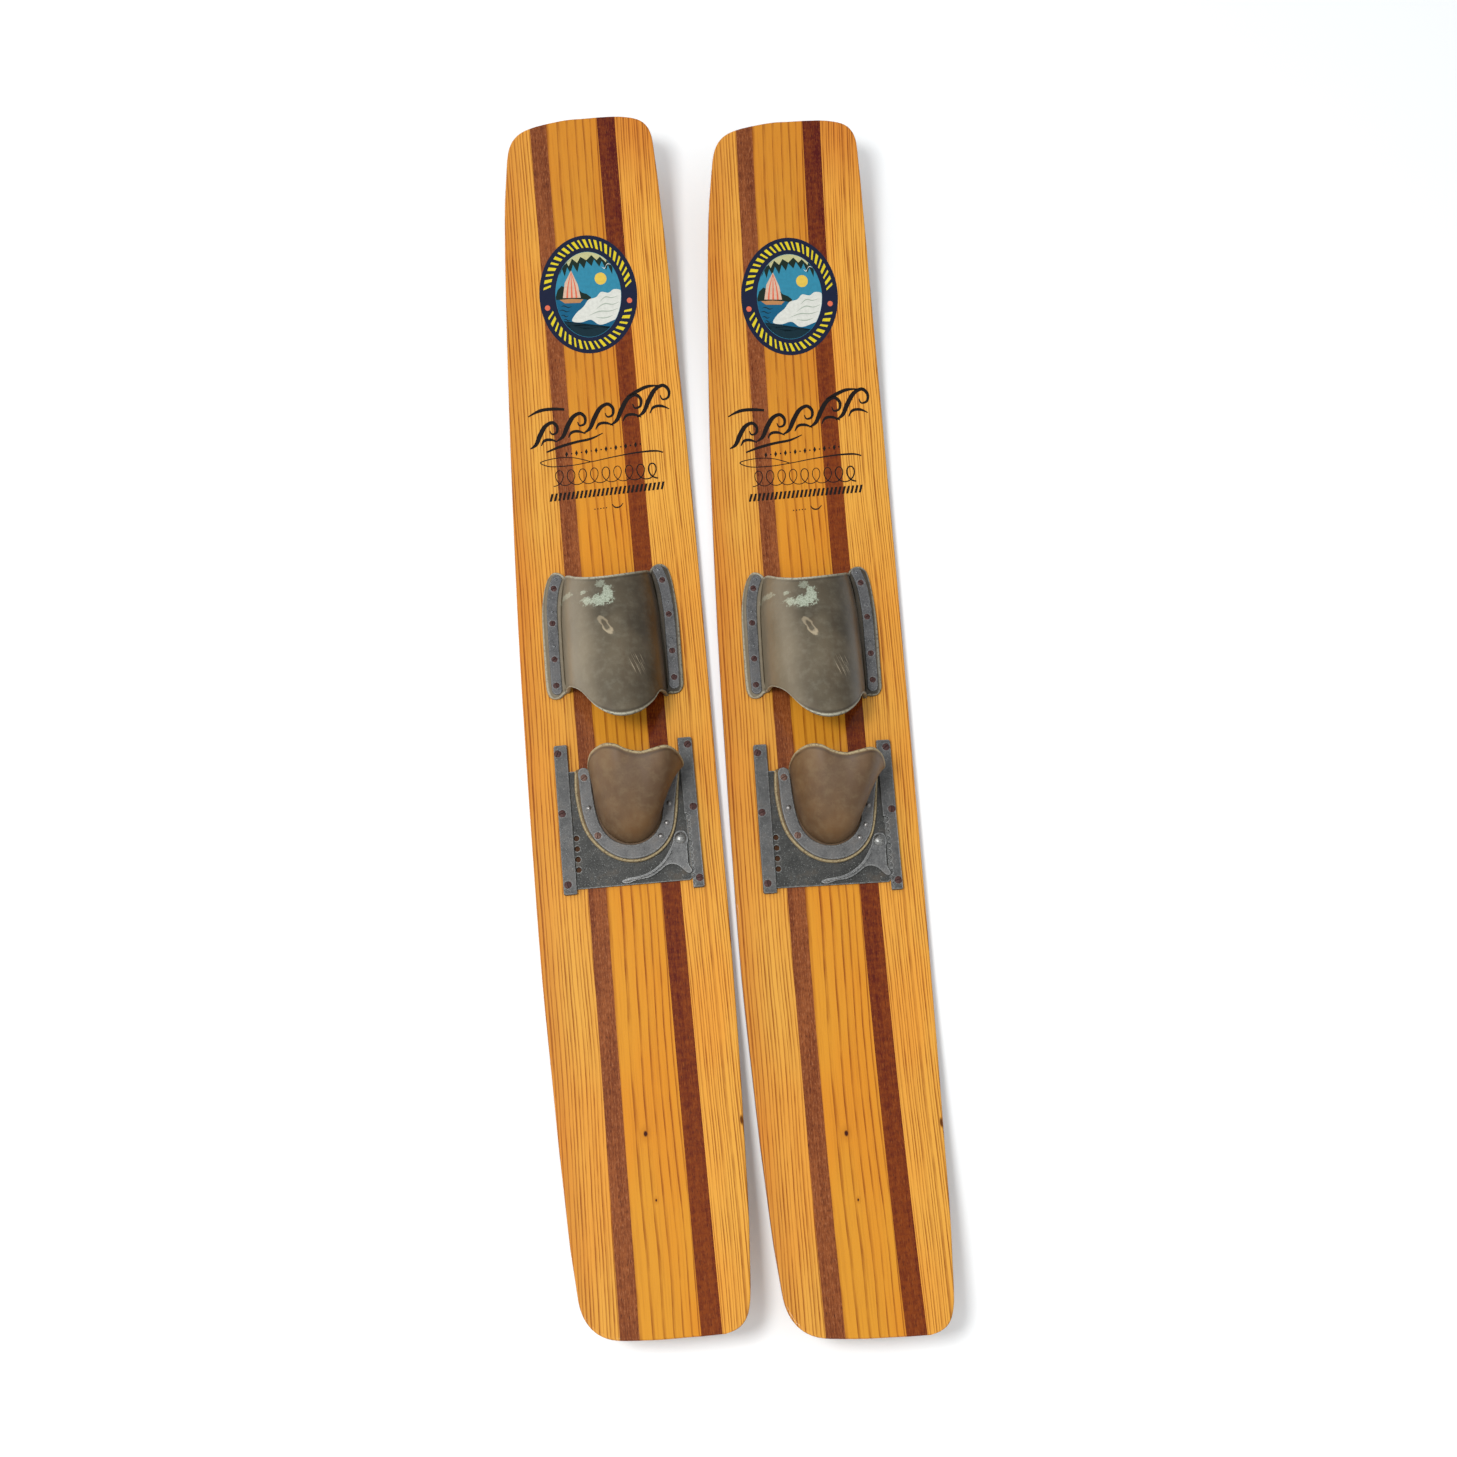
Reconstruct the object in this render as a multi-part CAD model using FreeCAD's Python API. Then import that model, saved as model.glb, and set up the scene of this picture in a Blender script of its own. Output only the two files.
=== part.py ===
import FreeCAD, Part
import math
import os
from FreeCAD import Vector as V

# Pair of wooden trick water skis, tips toward +Y, lying on their flat bottoms.
# All values in millimetres. One ski is described in its own frame (x across,
# y along, z up, x = 0 midway between the two dark stripes), then both skis are
# placed side by side, slightly splayed.

# ------------------------------------------------------------ driving sizes
SKI_LENGTH = 1372.0          # 54 in
HALF = SKI_LENGTH / 2
DECK = 12.7                  # thickness under the bindings (1/2 in)
END_THICK = 8.0              # thickness at both ends
TIP_START, TIP_RISE = 160.0, 80.0
TAIL_START, TAIL_RISE = 236.0, 60.0
EDGE_ROUND = 2.0             # rounding of the deck edge

STRIPE_SPACING = 80.5
STRIPE_LEFT_W = 19.2
STRIPE_RIGHT_W = 21.0

SKI_OFFSET = 111.4           # each ski's centre from the pair's centre
SPLAY_DEG = 0.87             # tips turned outward
STAGGER = 8.1                # left ski forward, right ski back

RUBBER = 3.2                 # rubber sheet thickness
STRIP_T = 2.2                # metal hold-down strips
TOE_MID = -1.4               # centre of the toe piece
TOE_SCREW_D = 7.2
RAIL_SCREW_D = 8.4

PLATE_T = 3.0
PLATE_GAP = 0.15             # running clearance under and over the plate
PLATE_HALF_W = 64.0
PLATE_FRONT, PLATE_REAR = -90.0, -221.5
RAIL_LIP_X = 61.4            # inner edge of the rail lips
RAIL_BASE_X = 64.4           # inner face of the rail bases
RAIL_LIP_T = 2.5
RACK_LAND_X, RACK_ROOT_X = 64.6, 67.4
RACK_PITCH = 7.3
RACK_FRONT, RACK_REAR = -148.0, -224.0

SHOE_T = 3.6                 # cast horseshoe clamp
LEVER_T = 3.0
PIVOT = (54.7, -175.3)
PIN_R = 3.0
PIN_HEAD_R = 6.2
PIN_CLEAR = 0.08

# plan outline of the deck, clockwise from the middle of the tip
OUTLINE = [
    (4.2, 685.4), (32.6, 686.0), (52.0, 685.8), (70.0, 683.6), (83.0, 678.5),
    (91.0, 668.5), (94.1, 654.0), (95.0, 638.0), (96.1, 620.0), (97.2, 590.0),
    (98.6, 555.0), (100.8, 475.0), (102.6, 390.0), (103.8, 290.0),
    (104.2, 200.0), (103.6, 100.0), (102.6, 0.0), (101.5, -100.0),
    (100.8, -200.0), (99.9, -280.0), (98.3, -350.0), (96.6, -412.0),
    (94.2, -470.0), (91.6, -530.0), (88.2, -590.0), (84.6, -630.0),
    (82.4, -652.0), (79.4, -666.0), (72.5, -678.0), (59.0, -685.0),
    (30.0, -686.0), (-5.0, -685.4), (-40.0, -683.4), (-60.5, -680.0),
    (-72.5, -673.5), (-82.0, -662.5), (-87.6, -648.0), (-90.0, -628.0),
    (-92.9, -600.0), (-95.9, -550.0), (-98.8, -500.0), (-100.8, -450.0),
    (-103.2, -390.0), (-105.4, -330.0), (-106.6, -260.0), (-107.2, -180.0),
    (-107.4, -100.0), (-107.3, 0.0), (-106.4, 100.0), (-104.6, 190.0),
    (-101.6, 300.0), (-98.0, 395.0), (-94.2, 475.0), (-89.4, 555.0),
    (-85.2, 602.0), (-81.4, 630.0), (-78.6, 648.0), (-73.5, 661.5),
    (-64.0, 671.5), (-50.0, 677.6), (-25.0, 682.6),
]

# ------------------------------------------------------------ small helpers


def curve(points, closed=False):
    s = Part.BSplineCurve()
    s.interpolate([V(*p) for p in points], PeriodicFlag=closed)
    return s.toShape()


def plan_face(points, z=0.0):
    w = Part.Wire([curve([(x, y, z) for x, y in points], True)])
    return Part.Face(w)


def prism(points, z0, z1):
    """Upright prism whose plan is a closed smooth curve through the points."""
    return plan_face(points, z0).extrude(V(0, 0, z1 - z0))


def box(x0, x1, y0, y1, z0, z1):
    return Part.makeBox(x1 - x0, y1 - y0, z1 - z0, V(x0, y0, z0))


def end_arc(y0, y1, z0, rise):
    """Arc tangent to the level line at (y0, z0), ending at y1 and z0+rise."""
    d = abs(y1 - y0)
    s = 1 if y1 > y0 else -1
    r = (d * d + rise * rise) / (2 * rise)
    a = math.asin(d / 2 / r) if d < r else 0.5
    mid = (y0 + s * r * math.sin(a), z0 + r - r * math.cos(a))
    return Part.Arc(V(0, y0, z0), V(0, mid[0], mid[1]),
                    V(0, y1, z0 + rise)).toShape()


def rise_at(y):
    if y > TIP_START:
        d, h, u = HALF - TIP_START, TIP_RISE, y - TIP_START
    elif y < -TAIL_START:
        d, h, u = HALF - TAIL_START, TAIL_RISE, -TAIL_START - y
    else:
        return 0.0
    r = (d * d + h * h) / (2 * h)
    return r - math.sqrt(r * r - u * u)


def side_band(z_low, z_high, tip_low, tail_low, tip_high, tail_high):
    """Solid slab following the ski's side profile between two levels."""
    x = 130.0
    low = [end_arc(TIP_START, HALF, z_low, tip_low),
           Part.makeLine(V(0, -TAIL_START, z_low), V(0, TIP_START, z_low)),
           end_arc(-TAIL_START, -HALF, z_low, tail_low)]
    high = [end_arc(TIP_START, HALF, z_high, tip_high),
            Part.makeLine(V(0, -TAIL_START, z_high), V(0, TIP_START, z_high)),
            end_arc(-TAIL_START, -HALF, z_high, tail_high)]
    ends = [Part.makeLine(V(0, HALF, z_low + tip_low),
                          V(0, HALF, z_high + tip_high)),
            Part.makeLine(V(0, -HALF, z_low + tail_low),
                          V(0, -HALF, z_high + tail_high))]
    w = Part.Wire(Part.__sortEdges__(low + high + ends))
    f = Part.Face(w)
    f.translate(V(-x, 0, 0))
    return f.extrude(V(2 * x, 0, 0))


def pick_edges(shape, test):
    out = []
    for e in shape.Edges:
        p = [e.valueAt(e.FirstParameter + t * (e.LastParameter
                                              - e.FirstParameter))
             for t in (0.1, 0.5, 0.9)]
        if all(test(q) for q in p):
            out.append(e)
    return out


def screw(x, y, z, d, length, slot_deg):
    """Oval countersunk slotted wood screw; z is the head's rim level."""
    r, rs, dome = d / 2, d * 0.24, d * 0.10
    head = d * 0.26
    prof = Part.Wire([
        Part.Arc(V(0, 0, dome), V(r * 0.55, 0, dome * 0.72),
                 V(r, 0, 0)).toShape(),
        Part.makeLine(V(r, 0, 0), V(rs, 0, -head)),
        Part.makeLine(V(rs, 0, -head), V(rs, 0, -length + rs * 1.6)),
        Part.makeLine(V(rs, 0, -length + rs * 1.6), V(0, 0, -length)),
        Part.makeLine(V(0, 0, -length), V(0, 0, dome))])
    s = Part.Face(prof).revolve(V(0, 0, 0), V(0, 0, 1), 360)
    s = Part.makeSolid(s) if s.ShapeType != "Solid" else s
    slot = Part.makeBox(d * 1.2, d * 0.15, d * 0.3,
                        V(-d * 0.6, -d * 0.075, -d * 0.10))
    slot.rotate(V(0, 0, 0), V(0, 0, 1), slot_deg)
    s = s.cut(slot)
    s.translate(V(x, y, z))
    return s


def hole_for(x, y, z, d, length):
    """The screw's own envelope without its slot, for cutting its seat."""
    r, rs, head = d / 2, d * 0.24, d * 0.26
    cone = Part.makeCone(rs, r, head, V(x, y, z - head))
    up = Part.makeCylinder(r, 6.0, V(x, y, z))
    shank = Part.makeCylinder(rs, length - head - rs * 1.6,
                              V(x, y, z - length + rs * 1.6))
    point = Part.makeCone(0, rs, rs * 1.6, V(x, y, z - length))
    return cone.fuse([up, shank, point])


def rivet(x, y, z_low, z, r_head, r_shank, dome):
    head = Part.Face(Part.Wire([
        Part.Arc(V(0, 0, dome), V(r_head * 0.62, 0, dome * 0.72),
                 V(r_head, 0, 0)).toShape(),
        Part.makeLine(V(r_head, 0, 0), V(0, 0, 0)),
        Part.makeLine(V(0, 0, 0), V(0, 0, dome))])).revolve(
            V(0, 0, 0), V(0, 0, 1), 360)
    head.translate(V(x, y, z))
    shank = Part.makeCylinder(r_shank, z - z_low + 0.2, V(x, y, z_low))
    return head.fuse(shank).removeSplitter()


def single(shape):
    """Return the one solid in a boolean result."""
    sol = sorted(shape.Solids, key=lambda s: -s.Volume)
    return sol[0]


# ------------------------------------------------------------ the ski deck

body = side_band(0.0, DECK,
                 TIP_RISE + DECK - END_THICK, TAIL_RISE + DECK - END_THICK,
                 TIP_RISE, TAIL_RISE)
body = body.common(prism(OUTLINE, -20, 140))
body = single(body)


def is_deck_edge(p):
    return (abs(p.z - (rise_at(p.y) + DECK)) < 0.05)


top_edges = pick_edges(body, is_deck_edge)
top_edges = [e for e in top_edges if e.Length > 20]
try:
    rounded = body.makeFillet(EDGE_ROUND, top_edges)
    if rounded.isValid() and rounded.Volume > 0.95 * body.Volume:
        body = single(rounded)
except Exception as err:
    print("deck edge left square:", err)

L0 = -STRIPE_SPACING / 2 - STRIPE_LEFT_W / 2
L1 = -STRIPE_SPACING / 2 + STRIPE_LEFT_W / 2
R0 = STRIPE_SPACING / 2 - STRIPE_RIGHT_W / 2
R1 = STRIPE_SPACING / 2 + STRIPE_RIGHT_W / 2


def plank(x0, x1):
    return single(body.common(box(x0, x1, -720, 720, -20, 140)))


planks = {
    "outer_plank_left": plank(-140, L0),
    "stripe_left": plank(L0, L1),
    "centre_plank": plank(L1, R0),
    "stripe_right": plank(R0, R1),
    "outer_plank_right": plank(R1, 140),
}

# oval transfer on the upturned tip, a thin film on the deck
DECAL_C, DECAL_A, DECAL_B, DECAL_TILT = (3.2, 480.4), 57.6, 70.3, -2.7
film = side_band(DECK, DECK + 0.25, TIP_RISE, TAIL_RISE, TIP_RISE, TAIL_RISE)
oval = Part.Ellipse(V(0, 0, 0), DECAL_B, DECAL_A).toShape()
oval = Part.Face(Part.Wire([oval])).extrude(V(0, 0, 160))
oval.rotate(V(0, 0, 0), V(0, 0, 1), 90 + DECAL_TILT)
oval.translate(V(DECAL_C[0], DECAL_C[1], 0))
decal = single(film.common(oval))

# ------------------------------------------------------------ toe piece

TOE_PLAN = [
    (-69.5, 136.5), (-62.5, 145.0), (-56.7, 144.9), (-51.5, 141.3),
    (-46.6, 136.8), (-37.6, 128.4), (-28.9, 124.2), (-18.9, 121.6),
    (-7.6, 120.6), (2.3, 120.9), (12.4, 122.2), (21.2, 124.2),
    (31.4, 127.5), (39.2, 131.8), (45.3, 137.3), (49.6, 143.0),
    (56.1, 146.6), (62.6, 145.8), (67.7, 139.9), (71.0, 129.3),
    (73.4, 111.5), (74.9, 89.5), (75.3, 61.5), (74.9, 36.5), (74.4, 9.5),
    (73.4, -1.5), (68.7, -7.8), (60.1, -9.6), (55.6, -8.8), (53.1, -11.3),
    (49.6, -14.4), (44.9, -17.5), (41.4, -22.6), (37.6, -30.4),
    (31.6, -38.2), (23.8, -45.0), (15.1, -49.2), (5.4, -51.1),
    (-4.1, -50.1), (-13.4, -46.2), (-22.5, -38.9), (-29.2, -29.6),
    (-34.7, -20.1), (-40.4, -12.0), (-46.6, -5.4), (-51.0, -0.9),
    (-54.6, 1.0), (-59.0, -0.1), (-62.0, -3.0), (-66.0, -5.0),
    (-71.5, -5.0), (-75.7, -2.9), (-78.6, 2.4), (-79.6, 12.4),
    (-79.7, 41.4), (-79.4, 67.5), (-78.6, 94.4), (-76.6, 112.4),
    (-73.4, 126.5),
]
# (y, arch height above the deck, half width of the arch)
TOE_STATIONS = [(156.0, 34.0, 43.5), (140.0, 39.8, 47.6), (125.0, 44.5, 50.6),
                (95.0, 52.5, 54.2), (60.0, 61.0, 55.2), (25.0, 68.0, 55.4),
                (-10.0, 73.5, 55.4), (-35.0, 76.0, 55.4), (-58.0, 77.0, 55.4)]
TOE_ARCH_ANGLES = [4, 16, 30, 46, 62, 76, 90, 104, 118, 134, 150, 164, 176]


def arch_points(y, half, height, base):
    pts = []
    for a in TOE_ARCH_ANGLES:
        c, s = math.cos(math.radians(a)), math.sin(math.radians(a))
        x = TOE_MID + half * math.copysign(abs(c) ** 0.88, c)
        pts.append((x, y, base + height * s ** 0.92))
    return pts


def toe_section(y, height, w):
    f = 84.0
    z0, z1 = DECK, DECK + RUBBER
    outer = ([(TOE_MID + w + 3.2, y, z1)]
             + arch_points(y, w, height, DECK)[1:-1]
             + [(TOE_MID - w - 3.2, y, z1)])
    inner = ([(TOE_MID + w - RUBBER - 0.4, y, z0)]
             + arch_points(y, w - RUBBER, height - RUBBER, DECK)[1:-1]
             + [(TOE_MID - w + RUBBER + 0.4, y, z0)])
    p = [V(TOE_MID + f, y, z0), V(TOE_MID + f, y, z1)]
    q = [V(TOE_MID - f, y, z0), V(TOE_MID - f, y, z1)]
    edges = [Part.makeLine(p[0], p[1]),
             Part.makeLine(p[1], V(*outer[0])),
             curve(outer),
             Part.makeLine(V(*outer[-1]), q[1]),
             Part.makeLine(q[1], q[0]),
             Part.makeLine(q[0], V(*inner[-1])),
             curve(inner[::-1]),
             Part.makeLine(V(*inner[0]), p[0])]
    return Part.Wire(edges)


toe = Part.makeLoft([toe_section(*st) for st in TOE_STATIONS], True, False)
toe = single(toe.common(prism(TOE_PLAN, DECK - 5, DECK + 100)))

# hold-down strips, half oval bars following the rubber's foot
STRIP_LEFT = [(-59.2, 136.0), (-62.5, 126.6), (-65.2, 114.6), (-66.9, 99.6),
              (-67.3, 82.6), (-67.6, 59.6), (-67.8, 39.6), (-67.8, 19.6),
              (-67.6, 5.4)]
STRIP_RIGHT = [(56.5, 138.7), (59.9, 128.5), (62.5, 115.0), (63.8, 100.5),
               (64.6, 87.5), (64.7, 67.5), (64.4, 47.5), (64.1, 27.5),
               (63.8, 9.5), (63.2, 1.7)]
STRIP_W = 12.0


def strip_solid(mid, z, t):
    """Bar of rounded ends following the middle points."""
    h = STRIP_W / 2
    c = Part.BSplineCurve()
    c.interpolate([V(x, y, z) for x, y in mid])
    a, b = c.FirstParameter, c.LastParameter
    n = 14
    left, right = [], []
    for i in range(n + 1):
        u = a + (b - a) * i / n
        p = c.value(u)
        d = c.tangent(u)[0]
        nx, ny = -d.y, d.x
        left.append((p.x + nx * h, p.y + ny * h, z))
        right.append((p.x - nx * h, p.y - ny * h, z))
    d0, d1 = c.tangent(a)[0], c.tangent(b)[0]
    p0, p1 = c.value(a), c.value(b)
    w = Part.Wire([
        curve(left),
        Part.Arc(V(*left[-1]), V(p1.x + d1.x * h, p1.y + d1.y * h, z),
                 V(*right[-1])).toShape(),
        curve(right[::-1]),
        Part.Arc(V(*right[0]), V(p0.x - d0.x * h, p0.y - d0.y * h, z),
                 V(*left[0])).toShape()])
    s = Part.Face(w).extrude(V(0, 0, t))
    top = pick_edges(s, lambda q: abs(q.z - z - t) < 1e-4)
    try:
        r = s.makeFillet(t * 0.6, top)
        if r.isValid():
            s = single(r)
    except Exception as err:
        print("strip left square:", err)
    return s


STRIP_Z = DECK + RUBBER
strip_left = strip_solid(STRIP_LEFT, STRIP_Z, STRIP_T)
strip_right = strip_solid(STRIP_RIGHT, STRIP_Z, STRIP_T)
print("toe rubber under the strips %.2f" % (
    toe.common(strip_left).Volume + toe.common(strip_right).Volume))

TOE_SCREWS = [(-63.1, 125.1, 20), (-67.4, 83.6, 75), (-67.9, 40.9, 40),
              (-68.1, 10.1, 110), (60.4, 125.8, 150), (64.3, 84.3, 30),
              (64.5, 40.6, 95), (64.0, 9.2, 60)]
TOE_PINS = [(-66.9, 97.6), (-67.2, 56.1), (64.5, 98.5), (64.6, 54.9),
            (56.9, 138.6), (-59.6, 136.0)]
TOE_SCREW_Z = STRIP_Z + STRIP_T - 0.1
TOE_SCREW_L = 12.0
PIN_Z = STRIP_Z + STRIP_T
toe_screws = [screw(x, y, TOE_SCREW_Z, TOE_SCREW_D, TOE_SCREW_L, a)
              for x, y, a in TOE_SCREWS]
toe_seats = [hole_for(x, y, TOE_SCREW_Z, TOE_SCREW_D, TOE_SCREW_L)
             for x, y, a in TOE_SCREWS]
toe_pins = [rivet(x, y, DECK - 3.0, PIN_Z - 0.3, 1.7, 0.8, 0.8)
            for x, y in TOE_PINS]
toe_pin_seats = [Part.makeCylinder(1.7, 6, V(x, y, PIN_Z - 0.3)).fuse(
    Part.makeCylinder(0.8, PIN_Z - DECK + 2.9, V(x, y, DECK - 3.0)))
    for x, y in TOE_PINS]

# ------------------------------------------------------------ heel slide

RAIL_FRONT_L, RAIL_REAR_L = -59.5, -227.0
RAIL_FRONT_R, RAIL_REAR_R = -61.5, -230.6
RAIL_OUT = 77.0
PLATE_Z0 = DECK + PLATE_GAP
PLATE_Z1 = PLATE_Z0 + PLATE_T
LIP_Z0 = PLATE_Z1 + PLATE_GAP
LIP_Z1 = LIP_Z0 + RAIL_LIP_T


def rail_block(side, x_out, y_front, y_rear):
    xs = sorted((side * RAIL_LIP_X, side * x_out))
    s = box(xs[0], xs[1], y_rear, y_front, DECK, LIP_Z1)
    corner = pick_edges(s, lambda q: abs(q.x - side * x_out) < 1e-6 and
                        (abs(q.y - y_front) < 1e-6 or abs(q.y - y_rear) < 1e-6))
    s = s.makeFillet(2.6, [e for e in corner
                           if abs(e.Vertexes[0].Z - e.Vertexes[1].Z) > 1])
    inner = pick_edges(s, lambda q: abs(q.x - side * RAIL_LIP_X) < 1e-6 and
                       (abs(q.y - y_front) < 1e-6 or abs(q.y - y_rear) < 1e-6))
    s = s.makeFillet(1.2, [e for e in inner
                           if abs(e.Vertexes[0].Z - e.Vertexes[1].Z) > 1])
    top = pick_edges(s, lambda q: abs(q.z - LIP_Z1) < 1e-6)
    s = s.makeFillet(0.9, top)
    xs = sorted((0, side * RAIL_BASE_X))
    return s.cut(box(xs[0], xs[1], -300, 0, DECK - 1, LIP_Z0))


rail_left = rail_block(-1, 76.2, RAIL_FRONT_L, RAIL_REAR_L)
rail_right = rail_block(1, RAIL_OUT, RAIL_FRONT_R, RAIL_REAR_R)
# small step along the outer edge of the right rail, behind its middle
rail_right = rail_right.cut(box(76.3, 80, -240, -141.5, DECK - 1, 30))
# rack of scallops along the right rail's inner edge
relief = box(40, RACK_LAND_X, -260, RACK_FRONT, LIP_Z0 - 1, LIP_Z1 + 1)
notches = []
y = RACK_FRONT - RACK_PITCH * 0.6
while y > RAIL_REAR_R + 1.0:
    notches.append(Part.makeCylinder(
        RACK_PITCH * 0.47, 6, V(RACK_ROOT_X - RACK_PITCH * 0.47, y,
                                LIP_Z0 - 1)))
    y -= RACK_PITCH
rail_right = single(rail_right.cut([relief] + notches))
rail_left = single(rail_left)

RAIL_SCREWS = [(-71.9, -69.0, 65), (-71.7, -136.9, 20), (-70.9, -216.2, 100),
               (71.9, -69.9, 35), (72.0, -140.8, 80), (72.0, -220.4, 10)]
RAIL_SCREW_Z = LIP_Z1 - 0.1
RAIL_SCREW_L = 15.0
rail_screws = [screw(x, y, RAIL_SCREW_Z, RAIL_SCREW_D, RAIL_SCREW_L, a)
               for x, y, a in RAIL_SCREWS]
rail_seats = [hole_for(x, y, RAIL_SCREW_Z, RAIL_SCREW_D, RAIL_SCREW_L)
              for x, y, a in RAIL_SCREWS]

plate = box(-PLATE_HALF_W, PLATE_HALF_W, PLATE_REAR, PLATE_FRONT,
            PLATE_Z0, PLATE_Z1)
plate = plate.makeFillet(4.0, [e for e in plate.Edges
                               if abs(e.Vertexes[0].Z - e.Vertexes[1].Z) > 1])
PLATE_HOLES = [(-58.2, -165.3), (-58.2, -177.0), (-58.2, -188.7),
               (-58.2, -200.4)]
plate = plate.cut([Part.makeCylinder(3.2, 10, V(x, y, DECK))
                   for x, y in PLATE_HOLES])

# horseshoe clamp over the heel rubber's flange
SHOE_INNER = [(-38.6, -94.5), (-37.2, -115.0), (-34.6, -140.0),
              (-29.9, -156.6), (-19.7, -170.4), (-3.6, -178.0),
              (13.3, -177.2), (27.4, -168.2), (35.6, -154.5), (38.4, -140.0),
              (41.6, -120.0), (46.6, -99.5)]
SHOE_OUTER = [(-51.4, -94.5), (-50.6, -118.0), (-48.6, -142.0),
              (-41.8, -163.4), (-29.5, -179.8), (-13.0, -191.0),
              (4.0, -194.4), (22.0, -190.6), (37.2, -179.6), (46.8, -163.6),
              (51.0, -143.0), (54.6, -122.0), (59.2, -101.0)]
SHOE_Z0 = PLATE_Z1 + RUBBER
SHOE_Z1 = SHOE_Z0 + SHOE_T


def u_plate(inner, outer, z0, z1, tip=6.4):
    a, b = inner[0], outer[0]
    c, d = inner[-1], outer[-1]

    def nose(p, q):
        mx, my = (p[0] + q[0]) / 2, (p[1] + q[1]) / 2
        dx, dy = q[0] - p[0], q[1] - p[1]
        n = math.hypot(dx, dy)
        nx, ny = -dy / n, dx / n
        if ny < 0:
            nx, ny = -nx, -ny
        return (mx + nx * tip, my + ny * tip)

    def v3(p):
        return V(p[0], p[1], z0)
    w = Part.Wire([
        curve([(x, y, z0) for x, y in inner]),
        Part.Arc(v3(c), v3(nose(c, d)), v3(d)).toShape(),
        curve([(x, y, z0) for x, y in outer[::-1]]),
        Part.Arc(v3(b), v3(nose(b, a)), v3(a)).toShape()])
    return Part.Face(w).extrude(V(0, 0, z1 - z0))


shoe = u_plate(SHOE_INNER, SHOE_OUTER, SHOE_Z0, SHOE_Z1)
try:
    r = shoe.makeFillet(1.2, pick_edges(
        shoe, lambda q: abs(q.z - SHOE_Z1) < 1e-4))
    if r.isValid():
        shoe = single(r)
except Exception as err:
    print("horseshoe left square:", err)

# ------------------------------------------------------------ heel rubber
# The flange lies on the plate under the horseshoe; the cup rises inside the
# horseshoe and leans forward over the foot's heel, with two lobes at its rim.

FLANGE_OUTER = [(-55.2, -93.0), (-56.2, -112.0), (-54.6, -133.0),
                (-49.8, -155.4), (-40.4, -172.6), (-23.4, -188.8),
                (-4.0, -196.8), (15.0, -196.6), (34.4, -187.0),
                (47.2, -171.0), (54.2, -147.0), (57.4, -122.0),
                (60.2, -101.0)]
FLANGE_INNER = [(-33.6, -96.0), (-32.6, -115.0), (-30.2, -138.0),
                (-26.0, -152.6), (-17.0, -165.4), (-3.0, -172.6),
                (12.0, -172.0), (23.6, -164.4), (31.0, -152.4),
                (34.0, -139.0), (37.0, -120.0), (41.6, -101.5)]
flange = u_plate(FLANGE_INNER, FLANGE_OUTER, PLATE_Z1, SHOE_Z0, 7.0)

CUP_T = 3.6
# plan line of the cup's outer face just inside the horseshoe
CUP_BASE = [(-36.9, -98.0), (-35.7, -117.0), (-33.2, -139.0),
            (-27.8, -155.2), (-17.2, -168.6), (-6.0, -175.2), (4.0, -176.6),
            (14.0, -174.6), (24.0, -168.0), (32.4, -156.4), (36.8, -139.0),
            (40.0, -120.0), (44.8, -102.0)]
# the rim: (x, y, height above the deck), from the left front round to the right
CUP_RIM = [(-39.2, -92.6, 17.0), (-39.0, -87.4, 38.0), (-32.4, -82.0, 60.0),
           (-20.0, -79.6, 75.0), (-8.0, -82.2, 79.5), (4.0, -88.0, 77.5),
           (18.0, -91.4, 76.2), (31.0, -90.0, 78.8), (45.0, -87.6, 78.6),
           (56.0, -89.4, 66.0), (62.8, -93.6, 46.0), (64.0, -98.0, 30.0),
           (57.0, -101.6, 19.0)]
CUP_COLS, CUP_ROWS = 17, 9
CUP_FOOT_Z = PLATE_Z1 + 1.2


def fraction(points):
    c = Part.BSplineCurve()
    c.interpolate([V(*p) for p in points])
    a, b = c.FirstParameter, c.LastParameter
    return lambda u: c.value(a + (b - a) * u)


cup_base = fraction([(x, y, CUP_FOOT_Z) for x, y in CUP_BASE])
cup_rim = fraction([(x, y, DECK + h) for x, y, h in CUP_RIM])


def cup_point(u, v):
    """Outer face of the cup: u runs round it, v from the foot to the rim."""
    p0, p3 = cup_base(u), cup_rim(u)
    back = math.sin(math.pi * u) ** 1.5
    tall = p3.z - p0.z
    p1 = p0 + V(0, 0, 10.0 + (0.62 * tall - 10.0) * back)
    p2 = p3 - V(0, 2.0 + 34.0 * back, min(5.0, 0.2 * tall))
    w = 1 - v
    return (p0 * w ** 3 + p1 * (3 * w * w * v) + p2 * (3 * w * v * v)
            + p3 * v ** 3)


def cup_normal(u, v):
    e = 1e-3
    du = cup_point(min(u + e, 1), v) - cup_point(max(u - e, 0), v)
    dv = cup_point(u, min(v + e, 1)) - cup_point(u, max(v - e, 0))
    n = du.cross(dv)
    n.normalize()
    if n.dot(V(6, -105, DECK + 25) - cup_point(u, v)) < 0:
        n = n * -1
    return n


outer_rows, inner_rows = [], []
for j in range(CUP_ROWS):
    v = j / (CUP_ROWS - 1)
    row_o, row_i = [], []
    for i in range(CUP_COLS):
        u = i / (CUP_COLS - 1)
        p = cup_point(u, v)
        row_o.append(p)
        row_i.append(p + cup_normal(u, v) * CUP_T)
    outer_rows.append(row_o)
    inner_rows.append(row_i)


def grid_face(rows):
    s = Part.BSplineSurface()
    s.interpolate(rows)
    return s.toShape()


def border(rows, side):
    if side == "low":
        return rows[0]
    if side == "high":
        return rows[-1]
    if side == "start":
        return [r[0] for r in rows]
    return [r[-1] for r in rows]


outer_face, inner_face = grid_face(outer_rows), grid_face(inner_rows)


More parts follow.
